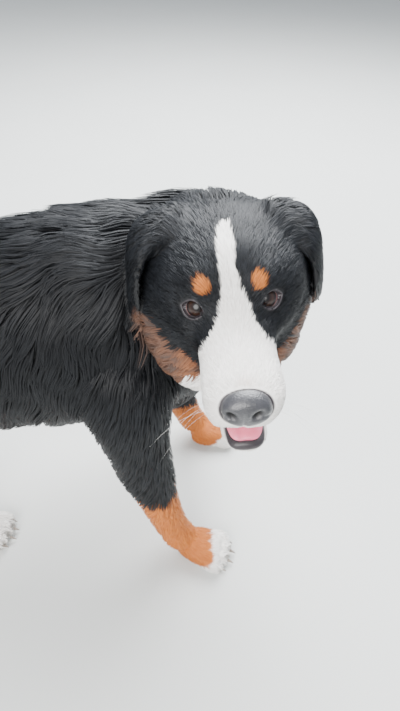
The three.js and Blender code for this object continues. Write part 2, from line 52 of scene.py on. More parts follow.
TRUNK = [
    (-672, 0, 500, 0, 0, 0), (-664, 0, 498, 52, 48, 50), (-640, 0, 492, 88, 82, 92),
    (-595, 0, 482, 116, 106, 122), (-530, 0, 468, 130, 123, 128), (-450, 0, 454, 138, 137, 140),
    (-370, 0, 443, 142, 149, 152), (-290, 0, 434, 143, 160, 160), (-235, 0, 440, 143, 168, 164),
    (-174, 0, 447, 141, 171, 170), (-110, 0, 446, 132, 165, 165), (-55, 0, 438, 112, 145, 150),
    (-10, 0, 425, 80, 105, 115), (18, 0, 412, 40, 55, 60), (26, 0, 410, 0, 0, 0)]
NECK = [
    (-215, 0, 455, 0, 0, 0), (-200, 0, 462, 80, 90, 90), (-150, 2, 485, 118, 128, 125),
    (-110, 6, 505, 115, 118, 122), (-70, 12, 522, 108, 105, 118), (-36, 14, 533, 104, 100, 115),
    (0, 12, 545, 98, 95, 110), (30, 8, 550, 80, 80, 90), (48, 6, 552, 50, 50, 55), (55, 6, 552, 0, 0, 0)]
RUFF = [
    (-212, 0, -34, 0, 0, 0), (-203, 0, -34, 48, 46, 50), (-178, -1, -30, 88, 84, 90),
    (-140, -3, -30, 104, 92, 107), (-100, -4, -32, 108, 86, 115), (-70, -4, -40, 107, 78, 115),
    (-45, -6, -56, 98, 68, 104), (-24, -9, -74, 81, 56, 78), (-7, -9, -84, 57, 36, 48), (-1, -8, -87, 0, 0, 0)]
HEAD = [
    (-150, 0, 0, 0, 0, 0), (-142, 0, 0, 44, 38, 44), (-120, 0, -2, 76, 58, 70), (-90, 0, -4, 87, 64, 80),
    (-60, 1, -7, 89, 65, 81), (-35, 1, -11, 83, 63, 76), (-15, 1, -17, 69, 57, 69), (0, 1, -24, 52, 47, 64),
    (14, 2, -31, 44, 36, 58), (35, 2, -40, 41, 29, 52), (60, 3, -46, 42, 28, 46), (82, 4, -50, 41, 26, 39),
    (97, 4, -52, 34, 20, 30), (106, 3, -52, 19, 12, 16), (109, 3, -52, 0, 0, 0)]
JAW = [
    (-70, 0, -70, 0, 0, 0), (-60, 0, -72, 30, 20, 22), (-30, 0, -84, 34, 16, 26), (0, 1, -94, 32, 12, 24),
    (30, 2, -103, 29, 10, 20), (60, 4, -112, 27, 10, 18), (80, 5, -117, 24, 9, 15), (92, 5, -118, 16, 7, 9),
    (96, 5, -118, 0, 0, 0)]
TONGUE = [
    (8, 1, -91, 0, 0, 0), (18, 2, -93, 18, 4, 4), (48, 3, -101, 20, 5, 4), (72, 5, -107, 19.5, 5, 4),
    (87, 5, -110, 13.5, 4, 3), (91, 5, -110, 0, 0, 0)]
NOSE = [
    (90, 3, -47, 0, 0, 0), (94, 3, -47, 21, 16, 17), (103, 3, -48, 25, 18, 19), (112, 3, -49, 20, 13, 14),
    (116, 3, -49, 0, 0, 0)]
EAR = [
    (-62, 108, 60, 0, 0, 0), (-59, 109, 68, 11, 6, 14), (-53, 109, 81, 23, 10, 28), (-45, 108, 92, 32, 12, 38),
    (-28, 104, 103, 42, 10, 27), (-8, 100, 108, 45, 8, 13), (15, 96, 111, 45, 7, 9), (38, 93, 113, 37, 6, 8),
    (57, 92, 114, 22, 5, 5), (70, 92, 114, 0, 0, 0)]
FORELEG = [
    (-470, 88, -105, 0, 0, 0), (-455, 92, -105, 40, 45, 50), (-420, 100, -103, 52, 68, 72),
    (-375, 112, -100, 50, 62, 66), (-335, 118, -97, 44, 55, 55), (-285, 123, -88, 38, 47, 50),
    (-235, 125, -80, 34, 42, 48), (-175, 126, -70, 31, 35, 37), (-120, 127, -60, 29, 32, 31),
    (-75, 129, -48, 29, 30, 29), (-42, 131, -34, 29, 30, 27), (-16, 134, -20, 0, 0, 0)]
HINDLEG_FORWARD = [
    (-500, 66, -565, 0, 0, 0), (-490, 70, -565, 30, 50, 50), (-460, 82, -560, 48, 88, 82),
    (-420, 92, -545, 52, 98, 92), (-370, 100, -520, 50, 98, 95), (-320, 105, -495, 46, 82, 85),
    (-275, 106, -490, 40, 62, 68), (-230, 106, -500, 33, 42, 50), (-185, 105, -515, 27, 32, 34),
    (-150, 104, -520, 25, 32, 30), (-110, 104, -500, 25, 30, 28), (-70, 104, -470, 25, 30, 28),
    (-40, 105, -445, 27, 30, 28), (-16, 105, -428, 0, 0, 0)]
HINDLEG_BACK = [
    (-500, 66, -570, 0, 0, 0), (-490, 70, -570, 30, 50, 50), (-460, 82, -570, 48, 88, 80),
    (-420, 92, -560, 52, 95, 88), (-370, 98, -545, 50, 92, 88), (-320, 102, -540, 46, 82, 78),
    (-275, 103, -560, 40, 62, 62), (-230, 102, -595, 32, 44, 46), (-190, 100, -625, 27, 34, 36),
    (-155, 98, -640, 25, 32, 30), (-110, 97, -640, 25, 28, 28), (-70, 97, -632, 25, 28, 27),
    (-40, 97, -622, 27, 28, 26), (-16, 97, -610, 0, 0, 0)]
TAIL = [
    (-572, 0, -650, 0, 0, 0), (-560, 0, -652, 24, 24, 16), (-530, 0, -668, 34, 36, 28),
    (-490, 0, -690, 40, 38, 36), (-430, 2, -708, 46, 36, 44), (-360, 4, -716, 51, 38, 50),
    (-290, 6, -716, 51, 38, 50), (-230, 8, -708, 43, 32, 42), (-190, 9, -698, 26, 22, 26), (-160, 10, -690, 0, 0, 0)]
PAW = [
    (-50, 0, 26, 0, 0, 0), (-44, 0, 26, 20, 20, 22), (-22, 0, 25, 31, 27, 30), (4, 0, 22, 36, 25, 30),
    (26, 0, 18, 34, 20, 26), (36, 0, 17, 0, 0, 0)]
# The toes of a paw: their places to the side and forward, their height and their radii
TOE_SIDES, TOE_FORWARDS = (-27, -9.5, 9.5, 27), (24, 34, 34, 24)
TOE_UP, TOE_RADII = 15, (21, 11, 15)
# Each paw's place forward and to the side, its turn in degrees and its scale
PAWS = {"forepaw_right": (8, -142, -14, 1.0), "forepaw_left": (30, 120, 8, 1.0),
        "hindpaw_right": (-400, -106, -4, 0.95), "hindpaw_left": (-584, 98, 6, 0.95)}
# Sides of the body: 1 is left and -1 is right, also as keys of the values below
SIDES = ((1, "left"), (-1, "right"))
HEAD_AT = np.array([34.0, -152.0, 602.0])
HEAD_YAW, HEAD_PITCH, HEAD_ROLL = math.radians(-87), math.radians(4), math.radians(2.5)
FORELEG_SHIFT = {1: 22, -1: 0}
# Bend across the width of an ear, how many degrees each ear swings forward, and the point it swings about
EAR_CURVE = 12
EAR_SWING = {1: 0, -1: 9}
EAR_ROOT = np.array([-110.0, 0, 58])
EYE_RADIUS = 13.2
# Middle of the eyes in the solids, and of each eye as it lies between its lids
EYE_MIDDLE = np.array([-10.0, 0, -1.0])
EYE_AT = {1: np.array([-11.6, 35.8, -1.2]), -1: np.array([-11.0, -36.4, -6.4])}
CAMERA_AT = np.array([0.0, -578.0, 954.0])
# Distance given to points too far away to be worked out, and how far from a form they are worked out
FAR, REACH = 500.0, 60.0
# Ovals taken along each form, and the least half width that one may have
RING_SAMPLES, THINNEST = 240, 2


def turn_about(axis, angle):
    c, s = math.cos(angle), math.sin(angle)
    i, j = [(1, 2), (2, 0), (0, 1)][axis]
    matrix = np.eye(3)
    matrix[i, i] = matrix[j, j] = c
    matrix[i, j], matrix[j, i] = -s, s
    return matrix


HEAD_TURN = turn_about(2, HEAD_YAW) @ turn_about(1, -HEAD_PITCH) @ turn_about(0, HEAD_ROLL)


def in_head(points):
    return (points - HEAD_AT) @ HEAD_TURN


def from_head(points):
    return np.asarray(points, float) @ HEAD_TURN.T + HEAD_AT


def mirrored(h):
    """Head places with the right side laid over the left."""
    return np.stack([h[:, 0], np.abs(h[:, 1]), h[:, 2]], 1)


def smooth_step(low, high, value):
    share = np.clip((value - low) / (high - low), 0, 1)
    return share * share * (3 - 2 * share)


def soft_min(a, b, blend):
    share = np.maximum(blend - np.abs(a - b), 0) / blend
    return np.minimum(a, b) - share * share * blend / 4


def soft_max(a, b, blend):
    return -soft_min(-a, -b, blend)


def ellipsoid(points, centre, radii):
    scaled = (points - centre) / radii
    radius = np.sqrt((scaled ** 2).sum(1)) + 1e-6
    slope = np.sqrt(((scaled / radii) ** 2).sum(1)) + 1e-8
    return (radius - 1) * radius / slope


def unit(vectors):
    return vectors / (np.linalg.norm(vectors, axis=-1, keepdims=True) + 1e-9)


class Form:
    """Ovals stacked along a line; the skin lies under them by the depth of the coat there."""

    def __init__(self, rings, coat, turn=np.eye(3), origin=(0, 0, 0), curve=0.0, scale=1.0):
        self.turn, self.origin, self.curve, self.scale = turn, np.asarray(origin, float), curve, scale
        samples = self.spline(np.asarray(rings, float))
        thick = np.flatnonzero(samples[:, 3:].min(1) > THINNEST)
        self.table = samples[thick[0]:thick[-1] + 1]
        self.table[:, 0] = np.maximum.accumulate(self.table[:, 0]) + np.arange(len(self.table)) * 1e-4
        self.coat_at, self.coat = np.array(coat, float).T
        self.low, self.high = self.table[0, 0], self.table[-1, 0]
        side, up, wide, high, deep = self.table[:, 1:].T
        self.corner = np.array([self.low, (side - wide).min(), (up - deep).min() - abs(curve)])
        self.far_corner = np.array([self.high, (side + wide).max(), (up + high).max()])

    @staticmethod
    def spline(rings):
        """A smooth curve through the rings."""
        padded = np.vstack([2 * rings[0] - rings[1], rings, 2 * rings[-1] - rings[-2]])
        t = np.linspace(0, len(rings) - 1, RING_SAMPLES)
        i = np.minimum(t.astype(int), len(rings) - 2)
        f = (t - i)[:, None]
        before, start, end, after = (padded[i + k] for k in range(4))
        leave, arrive = (end - before) / 2, (after - start) / 2
        return ((2 * f ** 3 - 3 * f ** 2 + 1) * start + (f ** 3 - 2 * f ** 2 + f) * leave
                + (3 * f ** 2 - 2 * f ** 3) * end + (f ** 3 - f ** 2) * arrive)

    def own(self, points):
        """Points in the form's own frame: along, side and up."""
        return (points - self.origin) @ self.turn / self.scale

    def section(self, along):
        """Side and height of the middle, half width, and reach up and down."""
        return [np.interp(along, self.table[:, 0], self.table[:, k]) for k in range(1, 6)]

    def depth(self, along):
        """Depth of the coat."""
        return np.interp(along, self.coat_at, self.coat)

    def distance(self, points):
        """Distance to the skin, worked out only within reach of the form."""
        own = self.own(points)
        close = ((own > self.corner - REACH) & (own < self.far_corner + REACH)).all(1)
        value = np.full(len(points), FAR)
        value[close] = self.inner_distance(own[close])
        return value

    def inner_distance(self, own):
        along = np.clip(own[:, 0], self.low, self.high)
        side, up, wide, high, deep = self.section(along)
        x, y = own[:, 1] - side, own[:, 2] - up
        if self.curve:
            y = y + self.curve * (x / wide) ** 2
        tall = np.where(y > 0, high, deep)
        radius = np.sqrt((x / wide) ** 2 + (y / tall) ** 2) + 1e-6
        slope = np.sqrt((x / wide ** 2) ** 2 + (y / tall ** 2) ** 2) + 1e-8
        value = (radius - 1) * np.minimum(radius / slope, np.maximum(wide, tall))
        over = np.abs(own[:, 0] - along)
        value = np.where(over > 0, np.hypot(np.maximum(value, 0), over), value)
        return value * self.scale + self.depth(along)

    def around(self, points):
        """Share of the turn round the form and of its length, for the unwrap."""
        own = self.own(points)
        along = np.clip(own[:, 0], self.low, self.high)
        side, up = self.section(along)[:2]
        turn = np.arctan2(own[:, 2] - up, own[:, 1] - side)
        return np.stack([(turn / (2 * math.pi)) % 1.0, (along - self.low) / (self.high - self.low)], 1)

    def shell(self, share, turn):
        """Points on the skin at shares of the length and turns round it."""
        along = self.low + (self.high - self.low) * share
        side, up, wide, high, deep = self.section(along)
        coat = self.depth(along) / self.scale
        tall = np.where(np.sin(turn) > 0, high, deep)
        x = np.cos(turn) * np.maximum(wide - coat, 1)
        y = np.sin(turn) * np.maximum(tall - coat, 1) - self.curve * (x / wide) ** 2
        own = np.stack([along, side + x, up + y], 1) * self.scale
        return own @ self.turn.T + self.origin


# Depth of the coat at places along each form
TRUNK_COAT, NECK_COAT = [(-600, 16), (20, 16)], [(-200, 17), (50, 17)]
RUFF_COAT = [(-200, 15), (-120, 12), (-80, 8), (-45, 5.5), (-5, 4)]
TAIL_COAT = [(-570, 12), (-480, 20), (-160, 22)]
HEAD_COAT = [(-150, 8), (-90, 6), (-40, 4), (0, 2.5), (60, 1.6), (109, 1)]
JAW_COAT, EAR_COAT = [(-70, 4), (20, 2), (96, 1.5)], [(-60, 4), (0, 2.5), (68, 2)]
FORELEG_COAT = [(-470, 8), (-300, 7), (-200, 5), (-100, 3), (-40, 2.5)]
HINDLEG_COAT = [(-500, 12), (-300, 11), (-240, 8), (-190, 4), (-60, 3)]
PAW_COAT, BARE = [(-50, 2.5), (36, 2)], [(0, 0), (100, 0)]


def make_forms():
    down, x_axis, y_axis = -np.eye(3)[2], np.eye(3)[0], np.eye(3)[1]
    forms = {"trunk": Form(TRUNK, TRUNK_COAT), "neck": Form(NECK, NECK_COAT),
             "ruff": Form(RUFF, RUFF_COAT, HEAD_TURN, HEAD_AT),
             "tail": Form(TAIL, TAIL_COAT, np.stack([down, y_axis, x_axis], 1)),
             "head": Form(HEAD, HEAD_COAT, HEAD_TURN, HEAD_AT), "jaw": Form(JAW, JAW_COAT, HEAD_TURN, HEAD_AT)}
    for side, word in SIDES:
        leg = np.stack([down, y_axis * side, x_axis], 1)
        forms["foreleg_" + word] = Form(FORELEG, FORELEG_COAT, leg, (FORELEG_SHIFT[side], 0, 0))
        hindleg = HINDLEG_BACK if side > 0 else HINDLEG_FORWARD
        forms["hindleg_" + word] = Form(hindleg, HINDLEG_COAT, leg)
        swing = turn_about(1, -math.radians(EAR_SWING[side]))
        hang = HEAD_TURN @ swing @ np.stack([down, -x_axis, y_axis * side], 1)
        root = from_head([EAR_ROOT - swing @ EAR_ROOT])[0]
        forms["ear_" + word] = Form(EAR, EAR_COAT, hang, root, EAR_CURVE)
    for name, (x, y, turn, scale) in PAWS.items():
        forms[name] = Form(PAW, PAW_COAT, turn_about(2, math.radians(turn)), (x, y, 0), scale=scale)
    return forms


FORMS = make_forms()
NOSE_FORM = Form(NOSE, BARE, HEAD_TURN, HEAD_AT)
TONGUE_FORM = Form(TONGUE, BARE, HEAD_TURN, HEAD_AT)

# Shift of the dog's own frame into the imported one, from the two eyes
eye_boxes = [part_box("eye_left"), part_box("eye_right")]
eye_middle = sum((np.array(low + high) / 2 for low, high in eye_boxes), np.zeros(3)) / 2 / MM
SHIFT = eye_middle - from_head([EYE_MIDDLE])[0]
SHIFT[2] = 0.0

BODY = ("trunk", "neck", "foreleg_left", "foreleg_right", "hindleg_left", "hindleg_right")
# How softly the forms melt into one another
BODY_BLEND, TAIL_BLEND, PAW_BLEND, RUFF_BLEND, FACE_BLEND, TOE_BLEND, EYE_BLEND = 28, 14, 9, 18, 26, 6, 7
# How softly an ear melts into the skull, by height in the head's frame: at its root only
EAR_MELT = (-40, -5, 20, 45), (4, 9, 22, 34)
# Whisker pad, lip, brow and the bone under the eye: middle, radii, how deep it is sunk and how softly it melts
SWELLINGS = (((80, 19, -62), (24, 17, 20), 1.5, 12), ((58, 24, -76), (36, 11, 17), 1.5, 10),
             ((-19, 31, 19), (18, 16, 14), 1.0, 16), ((-20, 47, -24), (26, 14, 15), 1.0, 14))
LID, LID_RIM, LID_EDGE = 2.3, 0.7, 1.6
# Direction in which the left eye opens, and how far its outer corner is raised
EYE_OPENS, CORNER_RAISED = (0.84, 0.42, 0.34), 0.10
# Half the width between the lids, and the reach of the upper and the lower lid
HALF_OPENING, UPPER_LID, LOWER_LID = 13.6, 9.2, 9.0
FLOOR_GAP = 0.9


def hill(*offsets):
    """1 at the middle, falling off smoothly as the offsets grow."""
    return np.exp(-sum(offset ** 2 for offset in offsets))


def eye_axes(side):
    """Across from the inner to the outer corner, up, and out of the eye."""
    out = unit(np.array(EYE_OPENS) * (1, side, 1))
    across = unit(np.cross([0, 0, 1.0], out) * side) + np.array([0, 0, CORNER_RAISED])
    across = unit(across - out * (across @ out))
    return across, np.cross(out, across) * side, out


def almond(h, side):
    """Distance across the opening between the lids, negative within it."""
    across, up, out = eye_axes(side)
    own = h - EYE_AT[side]
    x, y, z = own @ across, own @ up, own @ out
    share = np.clip(np.abs(x - 0.3) / HALF_OPENING, 0, 1.4)
    edge = np.where(y > 0, y - UPPER_LID * (1 - share ** 2.2), -y - LOWER_LID * (1 - share ** 2.0))
    return np.where(z > 0, edge, FAR)


def mouth_line(u):
    """Height of the middle of the mouth."""
    return -90.5 - 0.16 * (u - 20)


def mouth_gape(u):
    """How far the lips part, from the corner of the mouth forward."""
    return 0.085 * np.maximum(u - 24, 0)


def face_distance(h):
    """Distance to the skin of the face."""
    u, v, w = h.T
    side, both_sides, points = np.abs(v), mirrored(h), from_head(h)
    skull, jaw = FORMS["head"].distance(points), FORMS["jaw"].distance(points)
    for middle, radii, sunk, blend in SWELLINGS:
        skull = soft_min(skull, ellipsoid(both_sides, middle, radii) + sunk, blend)
    # furrow up the forehead, hollow before the eye and groove under the nose
    skull = skull + 2.2 * hill(v / 7) * smooth_step(-80, -40, u) * smooth_step(12, -4, u)
    skull = skull + 2.6 * hill((u - 9) / 10, (side - 30) / 8, (w + 9) / 10)
    skull = skull + 2.4 * hill(v / 2.6) * smooth_step(88, 96, u) * smooth_step(-56, -62, w)
    # mouth, open from its corner forward, with a hollow in the lower jaw
    slot = np.maximum(np.abs(w - mouth_line(u)) - (0.4 + mouth_gape(u)), (26 - u) * 0.9)
    bowl = ellipsoid(h, (44, 0, -99), (48, 22, 9.0))
    face = soft_min(soft_max(skull, -slot, 2.5), soft_max(jaw, -np.minimum(slot, bowl), 2.5), 3)
    for eye, at in EYE_AT.items():
        radius, edge = np.linalg.norm(h - at, axis=1), almond(h, eye)
        face = soft_min(face, radius - EYE_RADIUS - LID - LID_RIM * hill(edge / 2.2), EYE_BLEND)
        face = soft_max(face, -np.maximum(edge, EYE_RADIUS - LID_EDGE - radius), LID_EDGE)
    return face


def paw_distance(points, name):
    """Distance to the skin of a paw with its four toes."""
    form = FORMS[name]
    own, value = form.own(points), form.distance(points)
    for side, forward in zip(TOE_SIDES, TOE_FORWARDS):
        value = soft_min(value, ellipsoid(own, (forward, side, TOE_UP), TOE_RADII) * form.scale, TOE_BLEND)
    return value


def within(h, u, v, w):
    """Which head places lie in a range of u, less than v from the middle and in a range of w."""
    return (h[:, 0] > u[0]) & (h[:, 0] < u[1]) & (np.abs(h[:, 1]) < v) & (h[:, 2] > w[0]) & (h[:, 2] < w[1])


def skin_distance(points):
    """Distance to the skin of the whole animal, melted from its forms."""
    value = np.full(len(points), FAR)
    for name in BODY:
        value = soft_min(value, FORMS[name].distance(points), BODY_BLEND)
    value = soft_min(value, FORMS["tail"].distance(points), TAIL_BLEND)
    value = soft_min(value, FORMS["ruff"].distance(points), RUFF_BLEND)
    for name in PAWS:
        value = soft_min(value, paw_distance(points, name), PAW_BLEND)
    h = in_head(points)
    close = within(h, (-190, math.inf), 150, (-190, 130))
    face = np.full(len(points), FAR)
    face[close] = face_distance(h[close])
    value = soft_min(value, face, FACE_BLEND)
    melt = np.interp(h[:, 2], *EAR_MELT)
    for _, word in SIDES:
        value = soft_min(value, FORMS["ear_" + word].distance(points), melt)
    return soft_max(value, FLOOR_GAP - points[:, 2], 1.2)


def slope_of(points, step=0.6):
    """Value and outward direction of the skin distance."""
    value = skin_distance(points)
    turn = np.stack([skin_distance(points + axis * step) - value for axis in np.eye(3)], 1)
    size = np.linalg.norm(turn, axis=1) + 1e-9
    return value / np.maximum(size / step, 1), turn / size[:, None]


def settle(points, rounds, most):
    """Moves points onto the skin."""
    for _ in range(rounds):
        value, outward = slope_of(points)
        points = points - outward * np.clip(value, -most, most)[:, None]
    return points


# Meshes
def read_places(items, field):
    flat = np.empty(len(items) * 3, np.float32)
    items.foreach_get(field, flat)
    return flat.reshape(-1, 3).astype(float)


def coordinates(piece):
    return read_places(piece.data.vertices, "co") / MM - SHIFT


def place(piece, points):
    piece.data.vertices.foreach_set("co", ((points + SHIFT) * MM).astype(np.float32).ravel())
    piece.data.update()


def put_values(piece, name, values):
    """A number or a vector for every corner of a piece."""
    kind, field = ("FLOAT", "value") if values.ndim == 1 else ("FLOAT_VECTOR", "vector")
    piece.data.attributes.new(name, kind, "POINT").data.foreach_set(field, values.astype(np.float32).ravel())


def select(*pieces):
    bpy.ops.object.select_all(action="DESELECT")
    for piece in pieces:
        piece.select_set(True)
    bpy.context.view_layer.objects.active = pieces[0]


def join(name, pieces):
    select(*pieces)
    bpy.ops.object.join()
    joined = bpy.context.object
    joined.name = joined.data.name = name
    return joined


def finish_modifier(piece, kind, **settings):
    select(piece)
    modifier = piece.modifiers.new(kind.title(), kind)
    for name, value in settings.items():
        setattr(modifier, name, value)
    bpy.ops.object.modifier_apply(modifier=modifier.name)


def cut_faces(piece, cuts, picked=None):
    """Subdivides the picked faces of a piece, or all of them."""
    select(piece)
    bpy.ops.object.mode_set(mode="EDIT")
    bpy.ops.mesh.select_mode(type="FACE")
    bpy.ops.mesh.select_all(action="SELECT" if picked is None else "DESELECT")
    if picked is not None:
        bpy.ops.object.mode_set(mode="OBJECT")
        piece.data.polygons.foreach_set("select", picked)
        bpy.ops.object.mode_set(mode="EDIT")
    bpy.ops.mesh.subdivide(number_cuts=cuts)
    bpy.ops.object.mode_set(mode="OBJECT")


def add_ball(name, segments, rings):
    bpy.ops.object.select_all(action="DESELECT")
    bpy.ops.mesh.primitive_uv_sphere_add(segments=segments, ring_count=rings, radius=1)
    piece = bpy.context.object
    piece.name = piece.data.name = name
    return piece, read_places(piece.data.vertices, "co")


def add_form(name, form, segments, rings):
    """A ball pulled out into a form, its poles drawn in to the middle of the last ring."""
    piece, ball = add_ball(name, segments, rings)
    points = form.shell((ball[:, 2] + 1) / 2, np.arctan2(ball[:, 1], ball[:, 0]))
    height = np.abs(ball[:, 2])
    last_ring = np.abs(height - np.unique(height.round(4))[-2]) < 1e-3
    for end in (1, -1):
        half = np.sign(ball[:, 2]) == end
        points[half & (height > 0.9999)] = points[half & last_ring].mean(0)
    place(piece, points)
    return piece


def from_eye(points):
    return np.linalg.norm(mirrored(in_head(points)) - EYE_AT[1], axis=1)


def near_face(points):
    return within(in_head(points), (-75, math.inf), 72, (-140, 60))


def near_paws(points):
    return points[:, 2] < 46


def near_features(points):
    """Round the eyes, the nose and the mouth."""
    h = in_head(points)
    return (from_eye(points) < 21) | within(h, (20, math.inf), 45, (-140, -70)) | (h[:, 0] > 84)


def near_eyes(points):
    return from_eye(points) < 17


VOXEL = 5.5


def make_skin():
    """All forms joined, remeshed as one, refined on the head and feet, and settled onto the skin."""
    skin = join("skin", [add_form(name + "_form", form, segments=40, rings=28) for name, form in FORMS.items()])
    finish_modifier(skin, "REMESH", mode="VOXEL", voxel_size=VOXEL * MM)
    place(skin, settle(coordinates(skin), rounds=3, most=6.0))
    for chosen in (near_face, near_paws, near_features, near_eyes):
        cut_faces(skin, 1, chosen(read_places(skin.data.polygons, "center") / MM - SHIFT))
        place(skin, settle(coordinates(skin), rounds=2, most=3.0))
    finish_modifier(skin, "TRIANGULATE")
    skin.data.shade_smooth()
    return skin


# Markings: shares of white and tan at points on the coat
BLAZE_ALONG = (-76, -64, -36, -17, -5, 4, 13, 20, 26, 33, 40)
BLAZE_RIGHT = (1, -10, -13, -13, -11.5, -12, -16, -20, -25, -35, -60)
BLAZE_LEFT = (3, 4.5, 6, 4.5, 7, 12, 18, 21, 26, 35, 60)
MUZZLE_FROM = (-110, -85, -60, -25, 0), (8, 14, 22, 31, 36)
# Height of the upper edge of the tan, from the middle of the head outwards, on the left and on the right
CHEEK_LEFT = (30, 40, 54, 61, 70, 77, 82, 86, 100), (-95, -88, -80, -71, -65, -56, -48, -40, -34)
CHEEK_RIGHT = (30, 40, 49, 61, 71, 81, 86, 92), (-95, -86, -75, -65, -62, -56, -46, -37)
# Share of tan in the cheek's hair, and of white
CHEEK_TAN, CHEEK_WHITE = ((40, 62, 90), (0.44, 0.22, 0.12)), 0.035
# Middle and radii of the spots over the eyes
BROW_SPOTS = (((-8, -30.5, 23.5), (13, 9.2, 9.6)), ((-8, 27.8, 25), (13, 8.6, 9.8)))
BROW_TAN = 0.85
CHEST_HALF_WIDTH = (372, 400, 470, 540), (4, 24, 50, 40)
# Height at which each leg turns tan
TAN_LEGS = {"forepaw_right": 182, "forepaw_left": 112, "hindpaw_right": 205, "hindpaw_left": 200}
UNDER_TAIL = (-655, 0, 445)


def soft_edge(width, value):
    """0 for negative values and 1 for positive ones, with a soft edge between."""
    return smooth_step(-width, width, value)


def ragged(points):
    """Smooth unevenness that breaks the edge of a marking, from -1 to 1."""
    p = points / 9
    return (np.sin(p[:, 0] * 2.1 + np.sin(p[:, 1] * 3.7)) + np.sin(p[:, 1] * 2.9 + p[:, 2] * 3.3)
            + np.sin(p[:, 2] * 4.3 + np.sin(p[:, 0] * 3.1))) / 3


def head_markings(points, wobble):
    """Shares of white and tan on the head and throat."""
    h = in_head(points)
    u, v, w = h.T
    side = np.abs(v)
    on_head = smooth_step(-150, -130, u) * (side < 130) * (w > -175)
    # white: blaze, muzzle, chin, throat, and cream under the cheeks
    rim = np.minimum(v - np.interp(u, BLAZE_ALONG, BLAZE_RIGHT), np.interp(u, BLAZE_ALONG, BLAZE_LEFT) - v)
    blaze = soft_edge(1.6, rim + wobble) * smooth_step(-77, -72, u) * smooth_step(-45, -38, w)
    muzzle = soft_edge(2.5, u - np.interp(w, *MUZZLE_FROM) + wobble * 1.5) * (w < 30)
    chin = soft_edge(2.5, w * -0.8 - 76 + u * 0.25 + wobble * 2) * (side < 40) * (w < -85)
    chin = chin * smooth_step(-30, -10, u)
    cream = soft_edge(3, 60 - side + wobble * 4) * soft_edge(3, -107 - w + wobble * 3) * (u < 10)
    cream = cream * smooth_step(-60, -40, u)
    throat = soft_edge(4, 36 - side + wobble * 6) * (w < -105) * smooth_step(-110, -90, u) * (u < 20)
    # tan: brow spots and cheeks
    spots = [BROW_TAN * soft_edge(1.6, -ellipsoid(h, *spot) - wobble * 0.9) for spot in BROW_SPOTS]
    top = np.where(v > 0, np.interp(side, *CHEEK_LEFT), np.interp(side, *CHEEK_RIGHT))
    cheek = soft_edge(4, top + 0.8 * np.minimum(0, u + 50) - w + wobble * 4)
    cheek = cheek * smooth_step(-84, -70, u + wobble * 5) * (u < 60) * (w > -150)
    by_ruff = smooth_step(18, 9, FORMS["ruff"].distance(points) + wobble * 3)
    cheek = cheek * on_head * smooth_step(24, 34, side + wobble * 3) * np.maximum(by_ruff, u > -10)
    share = np.clip(np.interp(side, *CHEEK_TAN) * (1 + 0.6 * wobble), 0.04, 1)
    white = np.max([blaze * on_head, muzzle * on_head, chin * on_head, cream * on_head, throat, CHEEK_WHITE * cheek], 0)
    return white, np.max([*spots, cheek * share], 0)


def body_markings(points, wobble):
    """Shares of white and tan on the chest, the legs and the tail."""
    x, y, z = points.T
    high = z + wobble * 10
    chest = soft_edge(6, np.interp(z, *CHEST_HALF_WIDTH) - np.abs(y) + wobble * 8)
    chest = chest * smooth_step(-62, -38, x + wobble * 6) * soft_edge(8, high - 372) * soft_edge(8, 560 - high)
    white, tan = chest * (in_head(points)[:, 2] < -80), np.zeros(len(points))
    # legs: tan from the pasterns down, higher inside and behind, and white toes
    for name, (paw_x, paw_y, _, _) in PAWS.items():
        fore = name.startswith("fore")
        near = (np.abs(x - paw_x + 20) < 150) & (np.abs(y - paw_y) < 75) & (z < 330)
        inside = (abs(paw_y) - np.abs(y)) * np.sign(paw_y * y) / 30
        start = TAN_LEGS[name] + (14 if fore else 30) * np.clip(inside, -0.2, 1.2)
        tan = np.maximum(tan, soft_edge(7, start - z + wobble * 9) * near)
        toes = soft_edge(3, 0.75 * (x - paw_x - z + 30) - 8 + wobble * 4) * (z < 62)
        if not fore:
            toes = np.maximum(toes, soft_edge(4, 52 - z + wobble * 5))
        white = np.maximum(white, toes * near)
    # tan under the root of the tail, and its white tip
    vent = np.linalg.norm((points - UNDER_TAIL) / (0.8, 1.2, 1.2), axis=1) + wobble * 5
    tip = soft_edge(6, 212 - z + wobble * 8) * (x < -650) * (np.abs(y) < 70)
    return np.maximum(white, tip), np.maximum(tan, smooth_step(34, 22, vent))


def markings(points):
    """Shares of white and tan."""
    wobble = ragged(points)
    white, tan = np.maximum(head_markings(points, wobble), body_markings(points, wobble))
    # the hair thins out over pink skin above the nose
    u, v, w = in_head(points).T
    pale = hill((u - 88) / 6, (v - 4) / 13, (w + 27) / 5)
    return np.clip(white - 0.16 * pale, 0, 1), np.clip(np.maximum(tan, pale), 0, 1)


def bare(points):
    """Dark bare skin: rims of the lids, lips and the edge of the nose."""
    h = in_head(points)
    u, v, w = h.T
    lids = [smooth_step(2.9, 1.7, almond(h, side)) * (np.linalg.norm(h - at, axis=1) < 19)
            for side, at in EYE_AT.items()]
    rim = np.interp(u, (20, 60, 84, 92, 98), (-99, -108, -116, -120.5, -121.5))
    lip = soft_edge(1, w - rim) * (w < -93 - 0.1 * (u - 20)) * (u > 16) * (np.abs(v) < 40)
    inside = (np.abs(w - mouth_line(u)) < 2.4 + mouth_gape(u)) & (u > 22) & (u < 110)
    nose = smooth_step(3.2, 1.2, NOSE_FORM.distance(points))
    return np.clip(np.max([*lids, lip, inside, nose], 0), 0, 1)


def gums(points):
    """Pink skin within the opening of the mouth."""
    h = in_head(points)
    return within(h, (24, 86), 18, (-FAR, FAR)) * (np.abs(h[:, 2] - mouth_line(h[:, 0]) - 2) < 5.5)


# Lie of the coat
HEAD_REGIONS = ("head", "jaw", "ruff", "ear_left", "ear_right")


